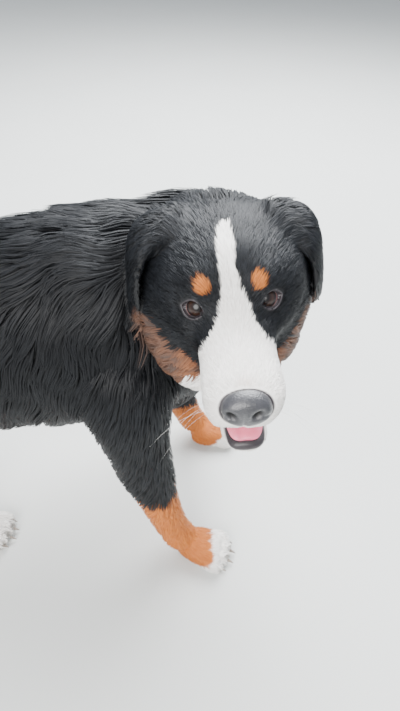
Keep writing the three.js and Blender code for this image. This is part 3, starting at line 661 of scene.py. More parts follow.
def rows(like, *parts):
    """Vectors, one for each value of like, from parts that are lists or single numbers."""
    return np.stack([np.broadcast_to(part, like.shape) for part in parts], 1).astype(float)


def along_skin(flow, outward):
    return unit(flow - outward * (flow * outward).sum(1, keepdims=True))


def lie(points, region, outward):
    """Direction in which the coat lies, along the skin."""
    x, y, _ = points.T
    u, v, w = in_head(points).T
    # each flow runs forward, to the left and up, for the head's regions in the head's own frame
    behind = np.maximum(-outward[:, 0], 0)
    if region.startswith("ear"):
        flow = rows(x, 0.004 * (u + 95) - 0.35, 0.8 if region == "ear_left" else -0.8, -1)
    elif region == "ruff":
        flow = rows(x, -1, v / 100, np.minimum((w + 20) / 110 - 0.35, 0.05))
    elif region == "jaw":
        flow = rows(x, -1, v * 0.006, -0.25)
    elif region == "head":
        flow = rows(x, -1, np.where(u > 20, 0.010, 0.016) * v, np.where(w > -30, 0.35, -0.30))
        over_ear = smooth_step(48, 78, np.abs(v)) * smooth_step(0, 30, w) * smooth_step(-50, -80, u)
        flow = flow + over_ear[:, None] * (rows(x, -0.4, np.sign(v), -0.5) - flow)
    elif region == "trunk":
        under = smooth_step(0.2, -0.7, outward[:, 2])
        side = np.sqrt(np.clip(1 - outward[:, 2] ** 2, 0, 1))
        front, rump = smooth_step(-500, -130, x), smooth_step(-560, -650, x)
        back = -0.95 + 0.72 * front * side + 0.25 * smooth_step(-60, 10, x)
        down = -(0.55 + 0.5 * front) * side - 0.1
        flow = rows(x, back * (1 - rump), -under * 0.2 * np.sign(y), down - rump)
    elif region == "neck":
        chest, top = smooth_step(-60, 10, x), smooth_step(0.45, 0.95, outward[:, 2])
        flow = rows(x, -0.45 + 0.35 * chest - 0.55 * top, 0.15 * np.tanh(y / 60), top - 1 - 0.1 * chest)
    elif region == "tail":
        flow = rows(x, 0.25 * np.sign(outward[:, 0]), 0.25 * np.sign(y), -1)
    elif region in PAWS:
        flow = rows(x, 0.9, 0, -0.75)
    elif region.startswith("foreleg"):
        flow = rows(x, -0.28 - 0.4 * behind, 0, -1)
    else:
        flow = rows(x, -0.42 - 0.25 * behind, 0, -1)
    if region in HEAD_REGIONS:
        flow = flow @ HEAD_TURN.T
    return along_skin(flow, outward)


def waves(points, length):
    """Smooth sideways wander that neighbouring hairs share, from -1 to 1."""
    p = points / length * 2 * math.pi
    return (np.sin(p[:, 0] * 0.8 + 1.3 * np.sin(p[:, 1] * 0.5) + p[:, 2] * 0.6)
            + 0.6 * np.sin(p[:, 2] * 1.1 + 1.7 * np.sin(p[:, 0] * 0.4) + 2.0)) / 1.6


# Coat of each kind: number of tufts, their length, width and steps, spacing of the locks and how strongly they
# draw the tufts in, height of the waves and share of its depth to which the coat lifts
COAT = {
    "trunk": dict(tufts=21500, length=62, width=2.6, steps=4, clump=26, pull=0.62, wave=8.5, lift=0.85),
    "neck": dict(tufts=6500, length=66, width=2.6, steps=4, clump=26, pull=0.62, wave=9.5, lift=0.85),
    "ruff": dict(tufts=7000, length=44, width=1.9, steps=4, clump=18, pull=0.5, wave=2.5, lift=0.9),
    "tail": dict(tufts=5000, length=82, width=2.8, steps=4, clump=26, pull=0.6, wave=5.0, lift=0.9),
    "thigh": dict(tufts=4600, length=60, width=2.7, steps=4, clump=24, pull=0.6, wave=4.5, lift=0.9),
    "shank": dict(tufts=4200, length=17, width=1.8, steps=3, clump=11, pull=0.4, wave=0.8, lift=0.8),
    "arm": dict(tufts=6400, length=26, width=2.0, steps=3, clump=14, pull=0.45, wave=1.4, lift=0.85),
    "head": dict(tufts=18500, length=14, width=1.15, steps=2, clump=8, pull=0.3, wave=0.6, lift=0.8),
    "jaw": dict(tufts=3600, length=11, width=1.1, steps=2, clump=8, pull=0.35, wave=0.4, lift=0.8),
    "ear": dict(tufts=5600, length=27, width=1.6, steps=3, clump=12, pull=0.45, wave=1.2, lift=0.5),
    "paw": dict(tufts=4600, length=9, width=1.4, steps=2, clump=8, pull=0.3, wave=0.3, lift=0.9)}
# What changes along u or w in the head's frame, or with the height z: axis, places and values there
LENGTHS = {"head": ("u", (-120, -60, -10, 20, 100), (30, 17, 11.5, 9, 6)), "jaw": ("u", (-60, 0, 90), (26, 14, 9)),
           "ruff": ("u", (-190, -130, -80, -20, 0), (58, 46, 28, 17, 14)),
           "ear": ("w", (-70, -20, 12, 32, 60), (28, 28, 23, 14, 12)),
           "arm": ("z", (40, 150, 250, 380), (11, 16, 26, 46)), "shank": ("z", (20, 150, 240), (9, 14, 24)),
           "thigh": ("z", (200, 300, 420, 500), (34, 62, 66, 60))}
WIDTHS = {"head": ("u", (-120, -60, 0, 60), (2.0, 1.45, 1.0, 0.85)), "arm": ("z", (60, 200, 400), (0.7, 1.0, 1.3))}
DENSITY = {"head": ("u", (-120, -50, 30), (0.55, 1.0, 1.35)), "arm": ("z", (60, 220, 420), (1.3, 1.0, 0.8))}
# Length from which a coat is long, height of waves from which it is wavy
LONG_COAT, LONG_WAVE = 30, 2
# How deep roots are sunk, and the least height of a tuft over the floor
ROOT_DEPTH, OVER_FLOOR = 0.8, 1.2
# How far tufts differ in length, in width, in the height of their tips and in their lie
LENGTH_SPREAD, WIDTH_SPREAD, TIP_SPREAD, STRAY = (0.75, 1.2), (0.75, 1.25), (0.45, 1.0), 0.10
# Span of the waves in a wavy coat and in a plain one, and span over which a wavy coat swells and sinks
WAVY_SPAN, PLAIN_SPAN, SWELL_SPAN = 78, 40, 62
# Share of a tuft's length that is left where it would climb out of a fold
SHORTENED = 0.3
# Kinds whose tufts differ little from lock to lock
EVEN_KINDS, EVEN_TONE, FREE_TONE = ("trunk", "neck", "thigh", "tail"), 0.2, 0.9
# Thickness of a tuft as a share of its width, how far its edges and its whole face are turned, and its patch on the map
BLADE_DEPTH, EDGE_TURN, TILT, BAKE_PATCH = 0.25, 0.4, 0.3, 0.003

draw = np.random.default_rng(SEED)


def by_place(table, kind, points, default):
    """What a table says for a kind of coat at each point, or the default for a kind that it leaves out."""
    if kind not in table:
        return np.full(len(points), float(default))
    axis, places, values = table[kind]
    along = points[:, 2] if axis == "z" else in_head(points)[:, "uvw".index(axis)]
    return np.interp(along, places, values)


def length_at(kind, points):
    """Length of the hair, shorter towards the nose and the feet."""
    length = by_place(LENGTHS, kind, points, COAT[kind]["length"])
    if kind == "ruff":
        u, _, w = in_head(points).T
        sleek = smooth_step(-72, -52, w) * smooth_step(-125, -85, u)
        crown = smooth_step(10, 35, w) * smooth_step(-170, -120, u)
        length = length + (13 - length) * sleek + (26 - length) * crown * (1 - sleek)
    return length


def grow_tufts(region, kind, roots, outward, spacing):
    """Paths of tufts over the skin from their roots, bent, waved and drawn into locks."""
    coat, form = COAT[kind], FORMS[region]
    count, steps, wavy = len(roots), coat["steps"], coat["wave"] > LONG_WAVE
    depth = form.depth(np.clip(form.own(roots)[:, 0], form.low, form.high))
    length = length_at(kind, roots) * draw.uniform(*LENGTH_SPREAD, count)
    share = np.linspace(0, 1, steps + 1)
    paths, ups = np.empty((2, count, steps + 1, 3))
    at, up = roots, outward
    flow = lie(at, region, up) + STRAY * draw.normal(size=(count, 3))
    tip = draw.uniform(*TIP_SPREAD, count)
    swell = 0.88 + 0.3 * waves(roots, SWELL_SPAN) if wavy else 1.0
    for k, s in enumerate(share):
        lift = 0.72 * np.sin(min(s * 2.4, math.pi / 2)) * coat["lift"] * (1 - 0.35 * s)
        rise = depth * (lift + tip * 0.75 * s ** 1.5)
        rise = np.minimum(rise * swell, depth * 1.02) - (ROOT_DEPTH if k == 0 else 0.0)
        sway = coat["wave"] * s * waves(roots + flow * (s * length)[:, None], WAVY_SPAN if wavy else PLAIN_SPAN)
        paths[:, k] = at + up * rise[:, None] + np.cross(up, flow) * sway[:, None]
        ups[:, k] = up
        if k < steps:
            at = at + flow * (length / steps)[:, None]
            value, up = slope_of(at, 1.0)
            at = at - up * np.clip(value, -8, 14)[:, None]
            flow = along_skin(flow * 0.5 + lie(at, region, up) * 0.5, up)
    # a tuft that would climb out of a fold stays short
    low, high = (-0.5, 0.2) if coat["length"] >= LONG_COAT else (0.3, 0.85)
    even = smooth_step(low, high, (ups[:, 0] * ups[:, -1]).sum(1))
    paths = paths[:, :1] + (paths - paths[:, :1]) * (SHORTENED + (1 - SHORTENED) * even)[:, None, None]
    # locks: every tuft is drawn towards the nearest of the chosen ones
    leaders = max(3, int(count * min(1.0, (spacing / coat["clump"]) ** 2)))
    chosen = draw.choice(count, leaders, replace=False)
    tree = kdtree.KDTree(leaders)
    for number, root in enumerate(roots[chosen]):
        tree.insert(root, number)
    tree.balance()
    lead = chosen[[tree.find(root)[1] for root in roots]]
    gap = paths[lead] - paths
    short = np.clip(1.6 - np.linalg.norm(gap, axis=2, keepdims=True) / (coat["clump"] * 1.4), 0, 1)
    paths = paths + gap * (coat["pull"] * share ** 1.4)[None, :, None] * short
    paths[:, :, 2] = np.maximum(paths[:, :, 2], OVER_FLOOR + 0.5 * draw.random(count)[:, None])
    tone = draw.random(leaders)[np.searchsorted(np.sort(chosen), lead)] * 0.6 + draw.random(count) * 0.4
    return paths, ups, tone


def blade_mesh(paths, ups, width, tone):
    """Closed three-sided blades along the paths: corners, normals, quads, triangles and place on the strand."""
    body = paths.shape[1] - 1
    end = 3 * body
    along = unit(np.gradient(paths, axis=1))
    across = unit(np.cross(along, ups))
    crest = np.cross(across, along)
    s = np.linspace(0, 1, body + 1)
    taper = np.interp(s, (0, 0.3, 0.65, 1), (0.62, 1, 0.8, 0.0))[None, :, None]
    half = across * (width[:, None, None] / 2) * taper
    top = crest * (width * BLADE_DEPTH)[:, None, None] * taper
    face = crest * 0.4 + ups * 0.6 + across * (TILT * np.sin(tone * 97))[:, None, None]
    corners, normals = np.empty((2, len(paths), end + 1, 3))
    edges = ((paths - half, face - across * EDGE_TURN), (paths + top, face), (paths + half, face + across * EDGE_TURN))
    for k, (edge, facing) in enumerate(edges):
        corners[:, k:end:3], normals[:, k:end:3] = edge[:, :body], facing[:, :body]
    corners[:, -1], normals[:, -1] = paths[:, -1], face[:, -1]
    quads = [quad for a in range(0, end - 3, 3)
             for quad in ((a, a + 1, a + 4, a + 3), (a + 1, a + 2, a + 5, a + 4), (a + 2, a, a + 3, a + 5))]
    tris = [(end - 3, end - 2, end), (end - 2, end - 1, end), (end - 1, end - 3, end), (0, 2, 1)]
    strand = [(edge, t) for t in s[:body] for edge in (0, 0.5, 1)] + [(0.5, 1)]
    return corners, unit(normals), np.array(quads), np.array(tris), np.array(strand)


def make_coat(name, batches):
    """One coat piece from batches of (paths, ups, tone, width, white, tan, unwrap)."""
    lists = {key: [] for key in ("corners", "normals", "loops", "turned", "starts", "strand", "OFBake",
                                 "white", "tan", "tone")}
    loop_base = corner_base = 0
    for paths, ups, tone, width, white, tan, unwrap in batches:
        corners, normals, quads, tris, strand = blade_mesh(paths, ups, width, tone)
        count, per = corners.shape[:2]
        first = corner_base + np.arange(count)[:, None, None] * per
        corner_base += count * per
        for faces in (quads, tris):
            sides = faces.shape[1]
            loops = (faces[None] + first).ravel()
            lists["loops"].append(loops)
            lists["starts"].append(loop_base + np.arange(0, len(loops), sides))
            loop_base += len(loops)
            # every third face is the underside of a tuft and faces away from the upper side
            under = np.where(np.arange(len(faces)) % 3 == 2, -1.0, 1.0)
            lists["turned"].append(np.repeat(np.tile(under, count), sides))
        lists["corners"].append(corners.reshape(-1, 3))
        lists["normals"].append(normals.reshape(-1, 3))
        lists["strand"].append(np.tile(strand, (count, 1)))
        lists["OFBake"].append((unwrap[:, None, :] + (strand[None] - 0.5) * BAKE_PATCH).reshape(-1, 2))
        for key, value in (("white", white), ("tan", tan), ("tone", tone)):
            lists[key].append(np.repeat(value, per))
    whole = {key: np.concatenate(values) for key, values in lists.items()}
    corners, loops, starts = whole["corners"], whole["loops"], whole["starts"]
    mesh = bpy.data.meshes.new(name)
    mesh.vertices.add(len(corners))
    mesh.vertices.foreach_set("co", ((corners + SHIFT) * MM).astype(np.float32).ravel())
    mesh.loops.add(len(loops))
    mesh.loops.foreach_set("vertex_index", loops.astype(np.int32))
    mesh.polygons.add(len(starts))
    mesh.polygons.foreach_set("loop_start", starts.astype(np.int32))
    mesh.polygons.foreach_set("use_smooth", np.ones(len(starts), bool))
    mesh.update(calc_edges=True)
    piece = bpy.data.objects.new(name, mesh)
    bpy.context.scene.collection.objects.link(piece)
    for key in ("white", "tan", "tone"):
        put_values(piece, key, whole[key])
    for key in ("OFBake", "strand"):
        mesh.uv_layers.new(name=key).data.foreach_set("uv", whole[key][loops].astype(np.float32).ravel())
    mesh.normals_split_custom_set((whole["normals"][loops] * whole["turned"][:, None]).astype(np.float32))
    return piece


# Finishes
# Hair colours at the root and at the tip: the root colours are darker as painted shade deep in the coat, and the tan's
# root colour is also its deeper tone from lock to lock
BLACK_SHADED_ROOT, BLACK_TIP = (0.0022, 0.0024, 0.0032, 1), (0.016, 0.018, 0.022, 1)
TAN_DEEP_AND_SHADED, TAN_TIP = (0.38, 0.090, 0.013, 1), (0.62, 0.215, 0.045, 1)
WHITE, WHITE_SHADED_ROOT = (0.90, 0.875, 0.84, 1), (0.78, 0.73, 0.69, 1)
LEATHER, WORN_LEATHER, PINK = (0.022, 0.018, 0.021, 1), (0.05, 0.04, 0.045, 1), (0.62, 0.20, 0.22, 1)
# Nose leather in two tones, and the near-black of the nostrils, painted shade in their hollows
NOSE_DARK, NOSE_LIGHT, NOSTRIL_SHADE = (0.016, 0.016, 0.019, 1), (0.052, 0.051, 0.058, 1), (0.003, 0.003, 0.003, 1)
TONGUE_COLOURS = (0.74, 0.10, 0.19, 1), (0.88, 0.26, 0.36, 1)
HORN_COLOURS = (0.16, 0.13, 0.11, 1), (0.42, 0.36, 0.30, 1)
WHISKER_COLOURS = (0.75, 0.73, 0.69, 1), (0.9, 0.9, 0.88, 1)
FLOOR_COLOURS = (0.60, 0.61, 0.59, 1), (0.64, 0.65, 0.63, 1)
# Colour of the eye from the middle of the pupil outwards
EYE_RINGS = ((0.0, (0.004, 0.003, 0.003, 1)), (0.30, (0.005, 0.004, 0.004, 1)), (0.36, (0.014, 0.007, 0.006, 1)),
             (0.62, (0.027, 0.013, 0.009, 1)), (0.78, (0.010, 0.006, 0.006, 1)), (0.85, (0.012, 0.007, 0.007, 1)),
             (0.91, (0.18, 0.09, 0.085, 1)), (1.0, (0.34, 0.17, 0.16, 1)))


def new_group(name, inputs, outputs):
    group = bpy.data.node_groups.new(name, "ShaderNodeTree")
    for kind, sockets in (("INPUT", inputs), ("OUTPUT", outputs)):
        for label, socket in sockets.items():
            group.interface.new_socket(name=label, in_out=kind, socket_type="NodeSocket" + socket)
    return group, group.nodes.new("NodeGroupInput").outputs, group.nodes.new("NodeGroupOutput").inputs


def put(tree, kind, **settings):
    """A node with its settings, each of them an option or an input."""
    node = tree.nodes.new("ShaderNode" + kind)
    for name, value in settings.items():
        if hasattr(node, name):
            setattr(node, name, value)
        else:
            node.inputs[name.replace("_", " ")].default_value = value
    return node


def link(tree, *pairs):
    for source, target in pairs:
        tree.links.new(source, target)


def feed(tree, pairs):
    """Gives each socket its source, which may be another socket or a value."""
    for socket, value in pairs:
        if isinstance(value, bpy.types.NodeSocket):
            tree.links.new(value, socket)
        else:
            socket.default_value = value


def mix_colours(tree, share, first, second, kind="MIX"):
    node = put(tree, "Mix", data_type="RGBA", blend_type=kind)
    feed(tree, ((node.inputs[0], share), (node.inputs[6], first), (node.inputs[7], second)))
    return node.outputs[2]


def calculate(tree, operation, *values):
    node = put(tree, "Math", operation=operation)
    feed(tree, zip(node.inputs, values))
    return node.outputs[0]


def attribute(tree, name, output="Fac"):
    return put(tree, "Attribute", attribute_name=name).outputs[output]


def texture(tree, kind, **settings):
    """Value of noise or cells laid by the piece's own place."""
    node = put(tree, "Tex" + kind, **settings)
    link(tree, (put(tree, "TexCoord").outputs["Object"], node.inputs["Vector"]))
    return node.outputs[0]


def add_bump(tree, shader, height, strength, depth):
    bump = put(tree, "Bump", Strength=strength, Distance=depth)
    link(tree, (height, bump.inputs["Height"]), (bump.outputs[0], shader.inputs["Normal"]))


def coat_colour_group():
    """Colour of hair: black, tan or white, darker towards the root as painted shade deep in the coat, and varied from
    lock to lock.
    """
    group, given, result = new_group(
        "coat_colour", {"White": "Float", "Tan": "Float", "Tone": "Float", "Along": "Float", "Place": "Vector"},
        {"Colour": "Color"})
    patch = put(group, "TexNoise", Scale=14.0, Detail=3.0)
    link(group, (given["Place"], patch.inputs["Vector"]))
    vary = calculate(group, "MULTIPLY", patch.outputs[0], 0.45)
    vary = calculate(group, "MULTIPLY_ADD", given["Tone"], 0.7, vary)
    # towards the root the hair is painted darker, as shade deep in the coat
    black = mix_colours(group, calculate(group, "MULTIPLY", given["Along"], vary), BLACK_SHADED_ROOT, BLACK_TIP)
    paler = calculate(group, "MULTIPLY_ADD", vary, 0.6, calculate(group, "MULTIPLY", given["Along"], 0.4))
    colour = mix_colours(group, given["Tan"], black, mix_colours(group, paler, TAN_DEEP_AND_SHADED, TAN_TIP))
    white = mix_colours(group, calculate(group, "MULTIPLY_ADD", given["Along"], 0.6, vary), WHITE_SHADED_ROOT, WHITE)
    link(group, (mix_colours(group, given["White"], colour, white), result["Colour"]))
    return group


def strand_bump_group():
    """Fine hairs across the width of a tuft."""
    group, given, result = new_group("strand_lines", {"Strand": "Vector", "Tone": "Float"}, {"Height": "Float"})
    stretch = put(group, "Mapping", Scale=(5.0, 1.6, 1.0))
    lines = put(group, "TexNoise", noise_dimensions="4D", Scale=1.0, Detail=2.0)
    link(group, (given["Strand"], stretch.inputs["Vector"]), (stretch.outputs[0], lines.inputs["Vector"]),
         (calculate(group, "MULTIPLY", given["Tone"], 40.0), lines.inputs["W"]), (lines.outputs[0], result["Height"]))
    return group


def new_material(name, **values):
    material = bpy.data.materials.new(name)
    material.use_nodes = True
    shader = next(node for node in material.node_tree.nodes if node.type == "BSDF_PRINCIPLED")
    for label, value in values.items():
        shader.inputs[label.replace("_", " ")].default_value = value
    return material, material.node_tree, shader


def coat_colour(tree, colours):
    """The coat's colour, with the markings of the piece."""
    box = put(tree, "Group", node_tree=colours)
    link(tree, (attribute(tree, "white"), box.inputs["White"]), (attribute(tree, "tan"), box.inputs["Tan"]),
         (put(tree, "TexCoord").outputs["Object"], box.inputs["Place"]))
    return box


def hair_material(name, colours, lines, **values):
    material, tree, shader = new_material(name, **values)
    box, tone = coat_colour(tree, colours), attribute(tree, "tone")
    strand, split = put(tree, "UVMap", uv_map="strand"), put(tree, "SeparateXYZ")
    ridges = put(tree, "Group", node_tree=lines)
    link(tree, (strand.outputs[0], split.inputs[0]), (split.outputs[1], box.inputs["Along"]),
         (tone, box.inputs["Tone"]), (box.outputs["Colour"], shader.inputs["Base Color"]),
         (strand.outputs[0], ridges.inputs["Strand"]), (tone, ridges.inputs["Tone"]))
    add_bump(tree, shader, ridges.outputs["Height"], strength=0.5, depth=0.0006)
    return material


def skin_material(colours):
    material, tree, shader = new_material("skin_under_coat")
    box = coat_colour(tree, colours)
    # the skin takes the hair's colour near its root, painted shade of the coat included
    box.inputs["Along"].default_value, box.inputs["Tone"].default_value = 0.2, 0.4
    nap, bare_share = texture(tree, "Noise", Scale=500.0, Detail=3.0), attribute(tree, "bare")
    leather = mix_colours(tree, calculate(tree, "MULTIPLY", nap, 0.5), LEATHER, WORN_LEATHER)
    colour = mix_colours(tree, bare_share, box.outputs["Colour"], leather)
    colour = mix_colours(tree, attribute(tree, "pink"), colour, PINK)
    link(tree, (colour, shader.inputs["Base Color"]),
         (calculate(tree, "MULTIPLY_ADD", bare_share, -0.4, 0.8), shader.inputs["Roughness"]))
    add_bump(tree, shader, nap, strength=0.35, depth=0.0006)
    return material


def eye_material():
    material, tree, shader = new_material("eye_brown", Roughness=0.3, Specular_IOR_Level=0.3, Coat_Weight=0.16,
                                          Coat_Roughness=0.05)
    flat, size = put(tree, "VectorMath", operation="MULTIPLY"), put(tree, "VectorMath", operation="LENGTH")
    flat.inputs[1].default_value = (1, 1, 0)
    ramp = put(tree, "ValToRGB")
    ramp.color_ramp.interpolation = "EASE"
    while len(ramp.color_ramp.elements) < len(EYE_RINGS):
        ramp.color_ramp.elements.new(0.5)
    for element, (position, colour) in zip(ramp.color_ramp.elements, EYE_RINGS):
        element.position, element.color = position, colour
    around, fibres = put(tree, "VectorMath", operation="NORMALIZE"), put(tree, "TexNoise", Scale=9.0, Detail=3.0)
    link(tree, (attribute(tree, "eye_place", "Vector"), flat.inputs[0]), (flat.outputs[0], size.inputs[0]),
         (size.outputs["Value"], ramp.inputs[0]), (flat.outputs[0], around.inputs[0]),
         (around.outputs[0], fibres.inputs["Vector"]))
    colour = mix_colours(tree, 0.5, ramp.outputs[0], fibres.outputs["Color"], "SOFT_LIGHT")
    link(tree, (colour, shader.inputs["Base Color"]))
    return material


def nose_material():
    material, tree, shader = new_material("nose_leather", Coat_Roughness=0.32)
    nostril = attribute(tree, "nostril")
    colour = mix_colours(tree, texture(tree, "Noise", Scale=90.0, Detail=3.0), NOSE_DARK, NOSE_LIGHT)
    # the nostrils are painted near-black: painted shade in their hollows
    link(tree, (mix_colours(tree, nostril, colour, NOSTRIL_SHADE), shader.inputs["Base Color"]),
         (calculate(tree, "MULTIPLY_ADD", nostril, 0.5, 0.38), shader.inputs["Roughness"]),
         (calculate(tree, "MULTIPLY_ADD", nostril, -0.6, 0.6), shader.inputs["Coat Weight"]))
    add_bump(tree, shader, texture(tree, "Voronoi", Scale=620.0), strength=0.7, depth=0.0005)
    return material


def mottled_material(name, colours, scale, detail, bump=None, buds=None, **values):
    """Two tones mixed by noise, and a bump, as strength and depth, of that noise or of buds."""
    material, tree, shader = new_material(name, **values)
    mottle = texture(tree, "Noise", Scale=scale, Detail=detail)
    link(tree, (mix_colours(tree, mottle, *colours), shader.inputs["Base Color"]))
    if bump:
        add_bump(tree, shader, texture(tree, "Voronoi", Scale=buds) if buds else mottle, *bump)
    return material


# Skin
skin = make_skin()
skin_points = coordinates(skin)
white, tan = markings(skin_points)
for name, values in (("white", white), ("tan", tan), ("bare", bare(skin_points)), ("pink", gums(skin_points))):
    put_values(skin, name, values)
colours, lines = coat_colour_group(), strand_bump_group()
skin.data.materials.append(skin_material(colours))
FLESH = ("head", "lower_jaw", "neck", "torso", "tail", "ear_left", "ear_right",
         "foreleg_left", "foreleg_right", "hindleg_left", "hindleg_right", *PAWS)
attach(skin, "root")
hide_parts(*FLESH)

# Faces of the skin: corners, area, region, kind of coat and how much of it is left open to the coat
face_corners = np.empty(len(skin.data.polygons) * 3, np.int32)
skin.data.polygons.foreach_get("vertices", face_corners)
a, b, c = (skin_points[face_corners[k::3]] for k in range(3))
centres = (a + b + c) / 3
head_at = in_head(centres)
region_at = np.array(list(FORMS))[np.argmin([form.distance(centres) for form in FORMS.values()], 0)]
KINDS = {**dict.fromkeys(PAWS, "paw"), **{"ear_" + word: "ear" for _, word in SIDES},
         **{"foreleg_" + word: "arm" for _, word in SIDES}, **{"hindleg_" + word: "thigh" for _, word in SIDES}}
kinds = np.array([KINDS.get(region, region) for region in region_at])
SHANK_BELOW = 235
kinds[(kinds == "thigh") & (centres[:, 2] < SHANK_BELOW)] = "shank"
in_socket = np.any([np.linalg.norm(head_at - at, axis=1) < EYE_RADIUS + 0.6 for at in EYE_AT.values()], 0)
open_area = np.linalg.norm(np.cross(b - a, c - a), axis=1) / 2 * ((1 - np.clip(bare(centres) * 1.5, 0, 1))
                                                                  * smooth_step(3.0, 7.0, centres[:, 2]) * ~in_socket)


def inset(share, margin):
    return margin + (1 - 2 * margin) * share


def dress(region, kind, where, strip, strips):
    """A batch of tufts on one region, spread evenly, with its own strip of the map."""
    coat = COAT[kind]
    area = open_area * ((region_at == region) & (kinds == kind) & where)
    count = int(coat["tufts"] * area.sum() / (open_area * (kinds == kind)).sum())
    area = area * by_place(DENSITY, kind, centres, 1)
    ladder = np.cumsum(area) / area.sum()
    picks = np.searchsorted(ladder, (np.arange(count) + draw.random(count)) / count).clip(0, len(area) - 1)
    r1, r2 = np.sqrt(draw.random(count))[:, None], draw.random(count)[:, None]
    roots = a[picks] * (1 - r1) + b[picks] * (r1 * (1 - r2)) + c[picks] * (r1 * r2)
    value, outward = slope_of(roots, 1.0)
    roots = roots - outward * np.clip(value, -3, 3)[:, None]
    paths, ups, tone = grow_tufts(region, kind, roots, outward, math.sqrt(area.sum() / count))
    tone = tone * (EVEN_TONE if kind in EVEN_KINDS else FREE_TONE)
    width = coat["width"] * draw.uniform(*WIDTH_SPREAD, count) * by_place(WIDTHS, kind, roots, 1)
    white, tan = markings(paths[:, (coat["steps"] + 1) // 2])
    turn, along = FORMS[region].around(roots).T
    unwrap = np.stack([(strip + inset(turn, 0.02)) / strips, inset(along, 0.01)], 1)
    return paths, ups, tone, width, white, tan, unwrap


# Pieces of the coat: each region with its kind, and the part of it that belongs to the piece
left, front, ahead = centres[:, 1] >= 0, centres[:, 0] > -330, head_at[:, 0] >= 18
PIECES = {
    "coat_torso_left_front": [("trunk", "trunk", left & front)],
    "coat_torso_left_back": [("trunk", "trunk", left & ~front)],
    "coat_torso_right_front": [("trunk", "trunk", ~left & front)],
    "coat_torso_right_back": [("trunk", "trunk", ~left & ~front)],
    "coat_neck": [("neck", "neck", True)],
    "coat_ruff": [("ruff", "ruff", True)],
    "coat_tail": [("tail", "tail", True)],
    "coat_face": [("head", "head", ~ahead)],
    "coat_muzzle": [("head", "head", ahead), ("jaw", "jaw", True)],
    "coat_ears": [("ear_left", "ear", True), ("ear_right", "ear", True)],
    "coat_paws": [(name, "paw", True) for name in PAWS]}
for _, word in SIDES:
    PIECES["coat_hindleg_" + word] = [("hindleg_" + word, "thigh", True), ("hindleg_" + word, "shank", True)]
    PIECES["coat_foreleg_" + word] = [("foreleg_" + word, "arm", True)]
hair = hair_material("coat_hair", colours, lines, Roughness=0.48, Specular_IOR_Level=0.2)
for name, parts in PIECES.items():
    piece = make_coat(name, [dress(*part, strip, len(parts)) for strip, part in enumerate(parts)])
    piece.data.materials.append(hair)
    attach(piece, "root")

# Eyes, turned to the camera, with a bulging cornea
eye_finish = eye_material()
for side, word in SIDES:
    eye, ball = add_ball("eye_ball_" + word, segments=64, rings=40)
    centre = from_head([EYE_AT[side]])[0]
    gaze = unit(CAMERA_AT - centre)
    right = unit(np.cross(gaze, [0, 0, 1.0]))
    turned = ball @ np.stack([right, np.cross(right, gaze), gaze])
    bulge = 1 + 0.07 * smooth_step(0.72, 1.0, ball[:, 2])
    place(eye, centre + turned * (EYE_RADIUS * bulge)[:, None])
    put_values(eye, "eye_place", ball)
    eye.data.shade_smooth()
    eye.data.materials.append(eye_finish)
    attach(eye, "root")
    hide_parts("eye_" + word)

# Nose with its nostrils, each a slit and a wing beside it, and a groove down the middle
nose = add_form("nose_leather", NOSE_FORM, segments=72, rings=48)
for _ in range(2):
    h = in_head(coordinates(nose))
    side = np.abs(h[:, 1])
    slit = hill((h[:, 0] - 112) / 9, (side - 12.5) / 5.4, (h[:, 2] + 48 - (side - 12.5) * 0.35) / 4.2)
    wing = hill((side - 21) / 4.5, (h[:, 2] + 51) / 2.6, (h[:, 0] - 106) / 7)
    groove = hill(h[:, 1] / 1.8) * smooth_step(-42, -50, h[:, 2])
    h[:, 0] -= 3.4 * slit + 2.0 * wing + 0.9 * groove
    place(nose, from_head(h))
side = np.abs(h[:, 1])
slit = ((side - 12.5) / 5.0) ** 2 + ((h[:, 2] + 48 - (side - 12.5) * 0.35) / 3.8) ** 2
# share of each nostril that the finish paints near-black, as shade in the hollow
put_values(nose, "nostril", hill(slit) * (h[:, 0] > 96))
nose.data.shade_smooth()
nose.data.materials.append(nose_material())
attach(nose, "root")
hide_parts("nose")

# Tongue, with a groove along it
tongue = add_form("tongue_wet", TONGUE_FORM, segments=48, rings=40)
h = in_head(coordinates(tongue))
h[:, 2] -= 1.8 * hill(h[:, 1] / 3.2) * smooth_step(-103, -98, h[:, 2] + (h[:, 0] - 48) * 0.2)
place(tongue, from_head(h))
tongue.data.shade_smooth()
tongue.data.materials.append(mottled_material(
    "wet_tongue", TONGUE_COLOURS, scale=60.0, detail=2.0, bump=(0.5, 0.0004), buds=900.0,
    Roughness=0.32, Subsurface_Weight=0.15, Subsurface_Scale=0.003))
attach(tongue, "root")
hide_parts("tongue")

# Claws, each a bent and tapered cone of horn: half width along it, share left at its point, length, height of its
# root, drop to its point and place before the middle of the toe
CLAW_WIDTHS, CLAW_POINT = ((0, 0.3, 0.7, 1), (3.2, 2.9, 1.9, 0.6)), 0.12
CLAW_LENGTH, CLAW_HEIGHT, CLAW_DROP, BEFORE_TOE = 11, 10.5, 7.0, 12


def add_claw(form, forward, side):
    bpy.ops.object.select_all(action="DESELECT")
    bpy.ops.mesh.primitive_cone_add(vertices=10, radius1=1, radius2=CLAW_POINT, depth=1)
    claw = bpy.context.object
    cut_faces(claw, 3)
    cone = read_places(claw.data.vertices, "co")
    s = cone[:, 2] + 0.5
    taper = np.maximum(np.interp(s, (0, 1), (1, CLAW_POINT)), 1e-3)
    wide, tall = (cone[:, :2] / taper[:, None] * np.interp(s, *CLAW_WIDTHS)[:, None]).T
    own = np.stack([forward + BEFORE_TOE + s * CLAW_LENGTH + tall * 0.25, side + wide * 0.8,
                    np.maximum(CLAW_HEIGHT - s * s * CLAW_DROP + tall, 1.0)], 1)
    place(claw, (own * form.scale) @ form.turn.T + form.origin)
    return claw


